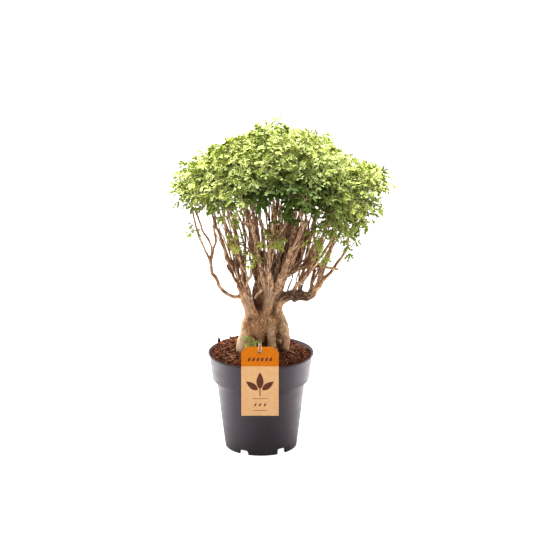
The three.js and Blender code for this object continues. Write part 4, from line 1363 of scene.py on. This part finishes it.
def make_litter():
    """A dark stick at the pot's edge, and ends of roots on the compost."""
    litter = Shape()
    for finish, bits in ((1, [STICK]), (0, ROOT_ENDS)):
        for bit in bits:
            rows = [(x, y, float(soil_height(x, y)) + rise, radius) for x, y, rise, radius in bit]
            add_tube(litter, smooth_path(rows, 2), LITTER_SIDES, finish=finish, relief=bark_relief)
    return litter


def make_string():
    """The tag's string as a closed loop, round in section."""
    points = smooth_path([*STRING_ROUTE, STRING_ROUTE[0]], STRING_STEP)[:-1]
    tangents, across, over = frames_along(points, closed=True)
    last = across[-1] - tangents[0] * (across[-1] @ tangents[0])
    twist = math.atan2(last @ over[0], last @ across[0])
    turned_back = np.arange(len(points)) / len(points) * twist
    turns = turns_round(STRING_SIDES) - turned_back[:, None]
    outward = np.cos(turns)[..., None] * across[:, None] + np.sin(turns)[..., None] * over[:, None]
    rings = points[:, None] + outward * STRING_RADIUS
    along = lengths_along(points)
    grain = np.stack(np.broadcast_arrays(np.cos(turns), np.sin(turns), along[:, None]), -1)
    triangles = ring_triangles(len(points), STRING_SIDES, closed=True)
    string = Shape()
    string.add(rings.reshape(-1, 3), triangles, grain=grain.reshape(-1, 3))
    return string


# Materials

SHADE_OPENNESS_SAMPLES = 6


def colour(red, green, blue):
    """A colour given as the eye reads it, from 0 to 255, in the numbers that shaders use."""
    def linear(value):
        value = value / 255
        return value / 12.92 if value <= 0.04045 else ((value + 0.055) / 1.055) ** 2.4

    return (linear(red), linear(green), linear(blue), 1)


class Finish:
    """A material whose colour, roughness and relief come from nodes."""

    def __init__(self, name, roughness, specular=0.5):
        self.material = bpy.data.materials.new(name)
        self.material.use_nodes = True
        self.nodes = self.material.node_tree.nodes
        self.links = self.material.node_tree.links
        self.shader = self.nodes["Principled BSDF"]
        self.shader.inputs["Roughness"].default_value = roughness
        self.shader.inputs["Specular IOR Level"].default_value = specular

    def put(self, socket, value):
        if isinstance(value, bpy.types.NodeSocket):
            self.links.new(value, socket)
        else:
            socket.default_value = value

    def near(self, middle, reach):
        """1 at a place in the object, fading to 0 at a reach along each axis. Both are in millimetres."""
        node = self.nodes.new("ShaderNodeVectorMath")
        node.operation = "SUBTRACT"
        self.put(node.inputs[0], self.coords())
        self.put(node.inputs[1], [value * MM for value in middle])
        away = self.scaled(node.outputs[0], [1 / (value * MM) for value in reach])
        length = self.nodes.new("ShaderNodeVectorMath")
        length.operation = "LENGTH"
        self.put(length.inputs[0], away)
        return self.spread(length.outputs["Value"], 1.0, 0.35)

    def coords(self):
        return self.nodes.new("ShaderNodeTexCoord").outputs["Object"]

    def coord(self, axis):
        """The place in the object along one axis, in metres."""
        node = self.nodes.new("ShaderNodeSeparateXYZ")
        self.put(node.inputs[0], self.coords())
        return node.outputs[axis]

    def value(self, name):
        node = self.nodes.new("ShaderNodeAttribute")
        node.attribute_name = name
        return node.outputs["Fac"]

    def vector(self, name):
        node = self.nodes.new("ShaderNodeAttribute")
        node.attribute_name = name
        return node.outputs["Vector"]

    def scaled(self, vector, scale):
        node = self.nodes.new("ShaderNodeVectorMath")
        node.operation = "MULTIPLY"
        self.put(node.inputs[0], vector)
        self.put(node.inputs[1], scale)
        return node.outputs[0]

    def noise(self, vector, scale, detail=3, rough=0.55):
        node = self.nodes.new("ShaderNodeTexNoise")
        self.put(node.inputs["Vector"], vector)
        node.inputs["Scale"].default_value = scale
        node.inputs["Detail"].default_value = detail
        node.inputs["Roughness"].default_value = rough
        return node.outputs["Fac"]

    def shade_openness(self, reach):
        """1 on an open surface, less in crevices and close under other parts: a mask for painting shade into
        a colour.
        """
        node = self.nodes.new("ShaderNodeAmbientOcclusion")
        node.samples = SHADE_OPENNESS_SAMPLES
        node.inputs["Distance"].default_value = reach
        return node.outputs["AO"]

    def math(self, operation, first, second=0.0):
        node = self.nodes.new("ShaderNodeMath")
        node.operation = operation
        self.put(node.inputs[0], first)
        self.put(node.inputs[1], second)
        return node.outputs[0]

    def plus(self, first, second):
        return self.math("ADD", first, second)

    def times(self, first, second):
        return self.math("MULTIPLY", first, second)

    def spread(self, value, low, high, bottom=0.0, top=1.0):
        """Leads smoothly from bottom to top while the value goes from low to high."""
        node = self.nodes.new("ShaderNodeMapRange")
        node.interpolation_type = "SMOOTHSTEP"
        self.put(node.inputs["Value"], value)
        node.inputs["From Min"].default_value = low
        node.inputs["From Max"].default_value = high
        node.inputs["To Min"].default_value = bottom
        node.inputs["To Max"].default_value = top
        return node.outputs["Result"]

    def mix(self, share, first, second):
        node = self.nodes.new("ShaderNodeMix")
        node.data_type = "RGBA"
        self.put(node.inputs[0], share)
        self.put(node.inputs[6], first)
        self.put(node.inputs[7], second)
        return node.outputs[2]

    def blend(self, value, low, high, first, second, share=1.0):
        """The first colour where the value is low, turning into a share of the second where it is high."""
        return self.mix(self.spread(value, low, high, 0.0, share), first, second)

    def bump(self, height, strength, depth):
        node = self.nodes.new("ShaderNodeBump")
        node.inputs["Strength"].default_value = strength
        node.inputs["Distance"].default_value = depth
        self.put(node.inputs["Height"], height)
        self.put(self.shader.inputs["Normal"], node.outputs["Normal"])

    def paint(self, base, roughness=None):
        self.put(self.shader.inputs["Base Color"], base)
        if roughness is not None:
            self.put(self.shader.inputs["Roughness"], roughness)

    def glow_through(self, base, share):
        """Lets some light through a thin blade."""
        through = self.nodes.new("ShaderNodeBsdfTranslucent")
        self.put(through.inputs["Color"], base)
        both = self.nodes.new("ShaderNodeMixShader")
        both.inputs[0].default_value = share
        self.links.new(self.shader.outputs[0], both.inputs[1])
        self.links.new(through.outputs[0], both.inputs[2])
        self.links.new(both.outputs[0], self.nodes["Material Output"].inputs["Surface"])


# Places in the crown where shade is painted into the leaves as a deeper green: middle, reach along x, y and
# z, and share
PAINTED_LEAF_SHADE = [
    ((46, -110, 482), (125, 120, 84), 0.9),
    ((110, -70, 420), (90, 120, 50), 0.3),
    ((-110, -70, 440), (90, 110, 50), 0.4),
]


def leaf_finish():
    """Green inside, with a cream margin of uneven width, lighter and yellower on some leaves, with painted
    light on the sprigs' leaves and painted shade on leaves shut in by others and low on the crown's front and
    sides.
    """
    look = Finish("leaf", 0.55, 0.16)
    grain = look.vector("grain")
    tone = look.value("tone")
    patch = look.noise(look.scaled(grain, (0.16, 0.16, 0.16)), 1, 2)
    green = look.blend(tone, 0.1, 0.9, colour(92, 118, 20), colour(160, 176, 48))
    green = look.blend(patch, 0.42, 0.7, green, colour(132, 156, 54))
    cream = look.blend(tone, 0.2, 1.0, colour(226, 230, 148), colour(240, 234, 164))
    waves = look.noise(look.scaled(grain, (0.55, 0.55, 0.55)), 1, 2)
    uneven = look.times(look.math("SUBTRACT", waves, 0.5), 1.3)
    base = look.blend(look.plus(look.value("edge"), uneven), 0.62, 0.86, green, cream)
    # Painted light on leaves with tones above 1, those of the sprigs
    base = look.blend(tone, 1.0, 1.6, base, colour(222, 232, 104), 0.55)
    # Painted shade on leaves shut in by others
    base = look.blend(look.shade_openness(0.035), 0.5, 0.05, base, colour(46, 70, 8), 0.35)
    # Painted shade, a deeper green, low on the crown's front and sides
    for middle, reach, share in PAINTED_LEAF_SHADE:
        base = look.mix(look.times(look.near(middle, reach), share), base, colour(54, 80, 8))
    look.paint(base)
    veins = look.noise(look.scaled(grain, (0.5, 1.6, 0.5)), 1, 3)
    look.bump(veins, 0.35, 0.0004)
    look.glow_through(base, 0.22)
    return look.material


def stalk_finish():
    look = Finish("leaf_stalk", 0.5, 0.4)
    tone = look.noise(look.vector("grain"), 0.3, 2)
    look.paint(look.blend(tone, 0.35, 0.65, colour(190, 196, 110), colour(228, 222, 160)))
    look.bump(tone, 0.2, 0.0003)
    return look.material


def twig_finish():
    """Young brown wood with pale flecks."""
    look = Finish("twig", 0.7, 0.3)
    grain = look.vector("grain")
    streaks = look.noise(look.scaled(grain, (1.2, 1.2, 0.35)), 1, 4)
    flecks = look.noise(grain, 0.9, 2)
    base = look.blend(streaks, 0.3, 0.7, colour(84, 54, 38), colour(150, 112, 82))
    look.paint(look.blend(flecks, 0.6, 0.75, base, colour(178, 146, 114)))
    look.bump(streaks, 0.5, 0.0006)
    return look.material


# Darker places on the stump and limbs, which are painted shade in its hollows, its crevices, the gaps between
# the legs and on the right limb, and paler places: middle, reach along x, y and z, share and colour
BARK_SHADE_AND_TONE_PATCHES = [
    ((62, -2, 281), (48, 34, 20), 0.95, (54, 32, 20)),
    ((-4, -4, 270), (20, 32, 28), 0.75, (124, 66, 38)),
    ((32, -12, 204), (8, 40, 26), 1.0, (44, 24, 14)),
    ((6, -16, 204), (10, 30, 18), 0.85, (52, 28, 16)),
    ((24, -14, 260), (6, 14, 18), 0.7, (62, 34, 20)),
    ((33, -10, 238), (5, 14, 16), 0.6, (70, 40, 24)),
    ((4, -24, 226), (18, 20, 24), 0.4, (150, 92, 52)),
    ((-38, -20, 205), (15, 34, 52), 0.75, (204, 182, 152)),
    ((18, -24, 205), (9, 20, 36), 0.7, (204, 180, 150)),
    ((-24, -18, 262), (12, 24, 30), 0.6, (178, 146, 120)),
    ((14, -16, 284), (11, 20, 28), 0.7, (172, 150, 122)),
    ((44, -14, 226), (14, 26, 24), 0.65, (216, 188, 152)),
    ((46, -8, 192), (8, 20, 30), 0.6, (206, 176, 142)),
]


def bark_finish():
    """Tan bark with cracks along it: warm and fibrous on the stump, redder and darker up in the crown."""
    look = Finish("bark", 0.78, 0.25)
    grain = look.vector("grain")
    streaks = look.noise(look.scaled(grain, (0.42, 0.42, 0.09)), 1, 5, 0.62)
    fibres = look.noise(look.scaled(grain, (0.85, 0.85, 0.17)), 1, 4, 0.6)
    patches = look.noise(look.coords(), 34, 3)
    high = look.spread(look.coord("Z"), 0.25, 0.3)
    dark = look.mix(high, colour(166, 104, 58), colour(124, 68, 38))
    light = look.mix(high, colour(222, 178, 130), colour(250, 204, 158))
    base = look.blend(streaks, 0.42, 0.58, dark, light)
    # Leaf scars across the upper stems, then patches of another brown
    rings = look.noise(look.scaled(grain, (0.14, 0.14, 0.5)), 1, 2)
    base = look.mix(look.times(high, look.spread(rings, 0.54, 0.68, 0, 0.7)), base, colour(92, 52, 32))
    patch_shade = look.mix(high, colour(164, 100, 54), colour(150, 104, 70))
    base = look.blend(patches, 0.5, 0.66, base, patch_shade, 0.6)
    # Pale and dark fibres, stronger in the crown
    strong = look.plus(look.times(high, 0.35), 0.6)
    base = look.mix(look.times(strong, look.spread(fibres, 0.54, 0.7)), base, colour(232, 202, 166))
    base = look.mix(look.times(strong, look.spread(fibres, 0.46, 0.3)), base, colour(70, 38, 20))
    # Painted shade in the hollows, crevices and gaps and on the right limb, and the paler places
    for middle, reach, share, shade in BARK_SHADE_AND_TONE_PATCHES:
        broken = look.spread(fibres, 0.66, 0.46, 0.3 * share, share)
        base = look.mix(look.times(look.near(middle, reach), broken), base, colour(*shade))
    base = look.mix(look.times(look.value("tone"), 0.55), base, colour(222, 178, 128))
    # Painted shade in the crevices, less of it in the crown
    painted_crevice_shade = look.spread(look.shade_openness(0.018), 0.95, 0.4)
    painted_crevice_shade = look.times(painted_crevice_shade, look.math("SUBTRACT", 0.88, look.times(high, 0.22)))
    base = look.mix(painted_crevice_shade, base, colour(60, 28, 14))
    look.paint(base)
    look.shader.inputs["Sheen Weight"].default_value = 0.12
    look.shader.inputs["Sheen Tint"].default_value = (1.0, 0.9, 0.78, 1)
    look.bump(look.plus(streaks, fibres), 1.0, 0.002)
    return look.material


# Darker place on the compost: middle and reach along x, y and z
DARK_COMPOST = ((-62, -10, 176), (46, 90, 30))


def compost_finish():
    """Reddish brown peat and bark, each crumb of its own tone."""
    look = Finish("compost", 0.95, 0.05)
    place = look.coords()
    tone = look.value("tone")
    grains = look.noise(place, 420, 4, 0.65)
    clods = look.noise(place, 95, 3)
    base = look.blend(grains, 0.38, 0.6, colour(30, 12, 5), colour(98, 48, 26))
    base = look.blend(clods, 0.45, 0.62, base, colour(74, 32, 14), 0.7)
    base = look.blend(tone, 0.74, 0.95, base, colour(176, 112, 58), 0.8)
    base = look.blend(tone, 0.36, 0.05, base, colour(34, 14, 5), 0.85)
    # Painted shade in the crevices between the crumbs
    base = look.blend(look.shade_openness(0.007), 0.95, 0.45, base, colour(24, 9, 3), 0.9)
    base = look.mix(look.times(look.near(*DARK_COMPOST), 0.5), base, colour(40, 17, 8))
    look.paint(base)
    look.bump(grains, 0.9, 0.001)
    return look.material


def fibre_finish():
    look = Finish("root_fibre", 0.8, 0.25)
    fine = look.noise(look.vector("grain"), 0.5, 3)
    tone = look.plus(look.times(fine, 0.5), look.times(look.value("tone"), 0.5))
    look.paint(look.blend(tone, 0.3, 0.85, colour(76, 36, 18), colour(170, 112, 70)))
    look.bump(tone, 0.4, 0.0004)
    return look.material


def stick_finish():
    look = Finish("dark_stick", 0.95, 0.05)
    tone = look.noise(look.scaled(look.vector("grain"), (1, 1, 0.3)), 0.8, 3)
    look.paint(look.blend(tone, 0.35, 0.65, colour(20, 18, 18), colour(50, 44, 43)))
    look.bump(tone, 0.5, 0.0005)
    return look.material


def pot_finish():
    """Moulded plastic, satin, with faint flow marks and dust."""
    look = Finish("pot_plastic", 0.42, 0.84)
    place = look.coords()
    flow = look.noise(look.scaled(place, (1, 1, 3.5)), 26, 3)
    pores = look.noise(place, 900, 2)
    dust = look.noise(place, 60, 5, 0.7)
    base = look.blend(flow, 0.35, 0.65, colour(11, 5, 9), colour(17, 10, 14))
    base = look.blend(dust, 0.56, 0.8, base, colour(90, 78, 80), 0.2)
    worn_lip = look.spread(look.coord("Z"), (POT_HEIGHT - 4) * MM, (POT_HEIGHT - 2) * MM, 0, 0.4)
    look.paint(base, look.plus(look.spread(flow, 0.3, 0.7, 0.4, 0.5), worn_lip))
    look.shader.inputs["Specular Tint"].default_value = (1.0, 0.84, 0.94, 1)
    look.bump(pores, 0.12, 0.0003)
    return look.material


# Height on the tag where its field ends and its band begins
BAND_EDGE = (179.6, 180.2)


def card_finish():
    """Orange band above a peach field, printed on card with a fine tooth."""
    look = Finish("tag_card", 0.7, 0.15)
    tooth = look.noise(look.coords(), 1500, 3)
    mottle = look.noise(look.coords(), 180, 3)
    field = look.blend(mottle, 0.3, 0.7, colour(232, 178, 124), colour(238, 187, 133))
    orange = look.blend(mottle, 0.3, 0.7, colour(214, 112, 0), colour(224, 122, 2))
    field_end, band_start = BAND_EDGE
    base = look.blend(look.coord("Z"), field_end * MM, band_start * MM, field, orange)
    look.paint(look.blend(tooth, 0.62, 0.8, base, colour(255, 240, 220), 0.2))
    look.bump(tooth, 0.15, 0.0002)
    return look.material


def ink_finish():
    look = Finish("tag_ink", 0.55, 0.3)
    wear = look.noise(look.coords(), 700, 3)
    look.paint(look.blend(wear, 0.3, 0.75, colour(84, 34, 10), colour(112, 54, 22)))
    return look.material


def string_finish():
    look = Finish("string", 0.35, 0.5)
    twist = look.noise(look.scaled(look.vector("grain"), (1.4, 1.4, 0.9)), 1.2, 2)
    look.paint(look.blend(twist, 0.35, 0.65, colour(206, 188, 168), colour(236, 224, 208)))
    look.bump(twist, 0.4, 0.0003)
    return look.material


# The print on the tag: a sprig of three leaves with rules below it

def leaf_outline(length, width, steps=14):
    """A pointed oval from its base at the origin up along z."""
    share = np.linspace(0, 1, steps)
    half = 0.5 * width * np.sin(math.pi * share**0.8) ** 0.9
    right = np.stack([half, share * length], -1)
    left = np.stack([-half[1:-1], share[1:-1] * length], -1)[::-1]
    return np.vstack([right, left])


def add_print(ink, outline, front):
    """A flat printed figure on the card's front. The outline's middle has to see all of it."""
    centre = outline.mean(0)
    points = []
    for y in (front + PRINT_SINK, front - PRINT_THICKNESS):
        points += [(x, y, z) for x, z in outline]
        points.append((centre[0], y, centre[1]))
    ink.add(np.array(points), prism_triangles(len(outline)))


PRINT_SINK = 0.03
PRINT_THICKNESS = 0.06
PRINT_MIDDLE = (-1.5, 133)
# Leaves of the sprig: lean in degrees, length and width
PRINT_LEAVES = [(0, 31, 12.5), (52, 26, 11), (-52, 26, 11)]
# Rules: height and width
PRINT_RULES = [(120, 27), (98, 24)]
RULE_HALF = 0.45
# Rows of small leaves: height, how many, step, lean, length and width
PRINT_ROWS = [(189, 6, 7.6, 24, 9, 4.4), (105.5, 3, 8.6, 30, 7.4, 3)]


def add_printed_leaf(ink, front, foot, lean, length, width, lift=0.0):
    """A leaf at a lean from upright, in degrees, whose foot is lifted this far from a point on the card."""
    turn = math.radians(lean)
    outline = leaf_outline(length, width) + (0, lift)
    x = outline[:, 0] * math.cos(turn) + outline[:, 1] * math.sin(turn)
    z = outline[:, 1] * math.cos(turn) - outline[:, 0] * math.sin(turn)
    outline = np.stack([x + foot[0], z + foot[1]], -1)
    add_print(ink, outline, front)


def make_print(front):
    ink = Shape()
    for lean, length, width in PRINT_LEAVES:
        add_printed_leaf(ink, front, PRINT_MIDDLE, lean, length, width, lift=5)
    for height, count, step, lean, length, width in PRINT_ROWS:
        for k in range(count):
            foot = (PRINT_MIDDLE[0] + (k - (count - 1) / 2) * step - 1.5, height)
            add_printed_leaf(ink, front, foot, lean, length, width)
    stalk = np.array([(-0.9, -8), (0.9, -8), (0.9, 6), (-0.9, 6)]) + PRINT_MIDDLE
    add_print(ink, stalk, front)
    for height, width in PRINT_RULES:
        rule = np.array([(-1, -1), (1, -1), (1, 1), (-1, 1)]) * (width / 2, RULE_HALF)
        add_print(ink, rule + (PRINT_MIDDLE[0], height), front)
    return ink


# The object

rng = np.random.default_rng(RANDOM_SEED)
bark = bark_finish()
leafy_finishes = [leaf_finish(), stalk_finish(), twig_finish()]
sprays = find_sprays()
sprigs = find_sprigs()

body_wood, thin_wood = make_wood(rng, [*sprays, *sprigs])
for name, wood in (("stump_and_limbs", body_wood), ("thin_stems", thin_wood)):
    make_piece(name, wood.mesh(name, WOOD_SHARP_ANGLE), [bark], "bark", "trunk_and_branches")

for name, shape in make_foliage(rng, sprays, sprigs).items():
    make_piece(f"leafy_{name}", shape.mesh(f"leafy_{name}"), leafy_finishes, "leaves", name)

make_piece("nursery_pot", make_pot(), [pot_finish()], "pot_plastic", "pot")
compost = make_soil(rng).mesh("compost", SOIL_SHARP_ANGLE)
make_piece("compost", compost, [compost_finish(), fibre_finish()], "compost", "soil")
litter = make_litter().mesh("compost_litter")
make_piece("compost_litter", litter, [fibre_finish(), stick_finish()], "compost")
make_piece("tag_loop", make_string().mesh("tag_loop"), [string_finish()], "string", "tag_string")

# The tag keeps the solid's own mesh
tag_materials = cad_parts["hang_tag"].data.materials
tag_materials.clear()
tag_materials.append(card_finish())
tag_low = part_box("hang_tag")[0]
make_piece("tag_print", make_print(tag_low.y / MM).mesh("tag_print"), [ink_finish()], "tag_card")


# The studio: a white light table, walls of soft light, a lamp and the camera

TABLE_HALF = 9000
TABLE_THICKNESS = 6
# Brightness of the table in front of the object and behind it, and as the camera sees it
FRONT_LIGHT = 0.1
TABLE_LIGHT = 2.5
TABLE_SEEN = 1.0
TABLE_SIDE_SHARE = 0.6
TABLE_REACH = 0.5
# Brightness of the walls in front of the object and behind it, and as the camera sees them
ROOM_LIGHT = 0.7
BACK_LIGHT = 2.8
ROOM_SEEN = 1.0
ROOM_FRONT = -0.75
ROOM_BACK = 0.5
SIDE_SHARE = 0.34
TOP_SHARE = -0.22
# The lamp above and behind: place and target in metres, size in metres and power in watts
LAMP_PLACE = (-0.2, 0.9, 2.2)
LAMP_TARGET = (0, 0, 0.5)
LAMP_SIZE = 1.6
LAMP_POWER = 270


def floor_finish():
    """A white table that gives light, more of it behind the object than in front."""
    look = Finish("floor", 0.9, 0.1)
    tone = look.noise(look.coords(), 3, 2)
    look.paint(look.blend(tone, 0.3, 0.7, (0.24, 0.24, 0.24, 1), (0.27, 0.27, 0.27, 1)))
    look.shader.inputs["Emission Color"].default_value = (1, 1, 1, 1)
    seen = look.nodes.new("ShaderNodeLightPath").outputs["Is Camera Ray"]
    aside = look.times(look.math("ABSOLUTE", look.coord("X")), TABLE_SIDE_SHARE)
    behind = look.plus(look.coord("Y"), aside)
    lit = look.spread(behind, 0.0, TABLE_REACH, FRONT_LIGHT, TABLE_LIGHT)
    unseen = look.times(look.math("SUBTRACT", 1.0, seen), lit)
    strength = look.plus(look.times(seen, TABLE_SEEN), unseen)
    look.put(look.shader.inputs["Emission Strength"], strength)
    return look.material


def make_floor():
    floor = Shape()
    corners = np.array([(-1, -1), (1, -1), (1, 1), (-1, 1)]) * TABLE_HALF
    points = [(x, y, z) for z in (-TABLE_THICKNESS, 0) for x, y in corners]
    floor.add(np.array(points, float), np.array([
        (0, 2, 1), (0, 3, 2), (4, 5, 6), (4, 6, 7), (0, 1, 5), (0, 5, 4),
        (1, 2, 6), (1, 6, 5), (2, 3, 7), (2, 7, 6), (3, 0, 4), (3, 4, 7),
    ]))
    mesh = floor.mesh("floor")
    mesh.materials.append(floor_finish())
    plate = add_to_scene("floor", mesh)


def make_lamp():
    """A soft square lamp that faces its target."""
    lamp = bpy.data.lights.new("top", "AREA")
    lamp.shape = "SQUARE"
    lamp.size = LAMP_SIZE
    lamp.energy = LAMP_POWER
    holder = add_to_scene("top", lamp)
    holder.location = LAMP_PLACE
    way = Vector(LAMP_TARGET) - Vector(LAMP_PLACE)
    holder.rotation_euler = way.to_track_quat("-Z", "Y").to_euler()


def make_world():
    """Walls of light round the object, brighter behind it than in front."""
    world = bpy.data.worlds.new("studio")
    world.use_nodes = True
    nodes, links = world.node_tree.nodes, world.node_tree.links
    place = nodes.new("ShaderNodeTexCoord")
    split = nodes.new("ShaderNodeSeparateXYZ")
    links.new(place.outputs["Generated"], split.inputs[0])
    aside = nodes.new("ShaderNodeMath")
    aside.operation = "ABSOLUTE"
    links.new(split.outputs["X"], aside.inputs[0])
    way = split.outputs["Y"]
    for part, share in ((aside.outputs[0], SIDE_SHARE), (split.outputs["Z"], TOP_SHARE)):
        step = nodes.new("ShaderNodeMath")
        step.operation = "MULTIPLY_ADD"
        links.new(part, step.inputs[0])
        step.inputs[1].default_value = share
        links.new(way, step.inputs[2])
        way = step.outputs[0]
    around = nodes.new("ShaderNodeMapRange")
    around.interpolation_type = "SMOOTHSTEP"
    links.new(way, around.inputs["Value"])
    around.inputs["From Min"].default_value = ROOM_FRONT
    around.inputs["From Max"].default_value = ROOM_BACK
    around.inputs["To Min"].default_value = ROOM_LIGHT
    around.inputs["To Max"].default_value = BACK_LIGHT
    seen = nodes.new("ShaderNodeLightPath")
    strength = nodes.new("ShaderNodeMix")
    links.new(seen.outputs["Is Camera Ray"], strength.inputs[0])
    links.new(around.outputs["Result"], strength.inputs[2])
    strength.inputs[3].default_value = ROOM_SEEN
    back = nodes["Background"]
    back.inputs["Color"].default_value = (1, 1, 1, 1)
    links.new(strength.outputs[0], back.inputs["Strength"])
    bpy.context.scene.world = world


def make_camera():
    lens = bpy.data.cameras.new("camera")
    lens.sensor_width = CAMERA_SENSOR
    lens.lens = CAMERA_LENS
    lens.clip_end = CAMERA_REACH
    camera = add_to_scene("camera", lens)
    camera.location = CAMERA_PLACE
    camera.rotation_euler = (math.radians(90 - CAMERA_PITCH), 0, 0)
    bpy.context.scene.camera = camera


make_floor()
make_lamp()
make_world()
make_camera()
bpy.context.scene.view_settings.view_transform = "Standard"
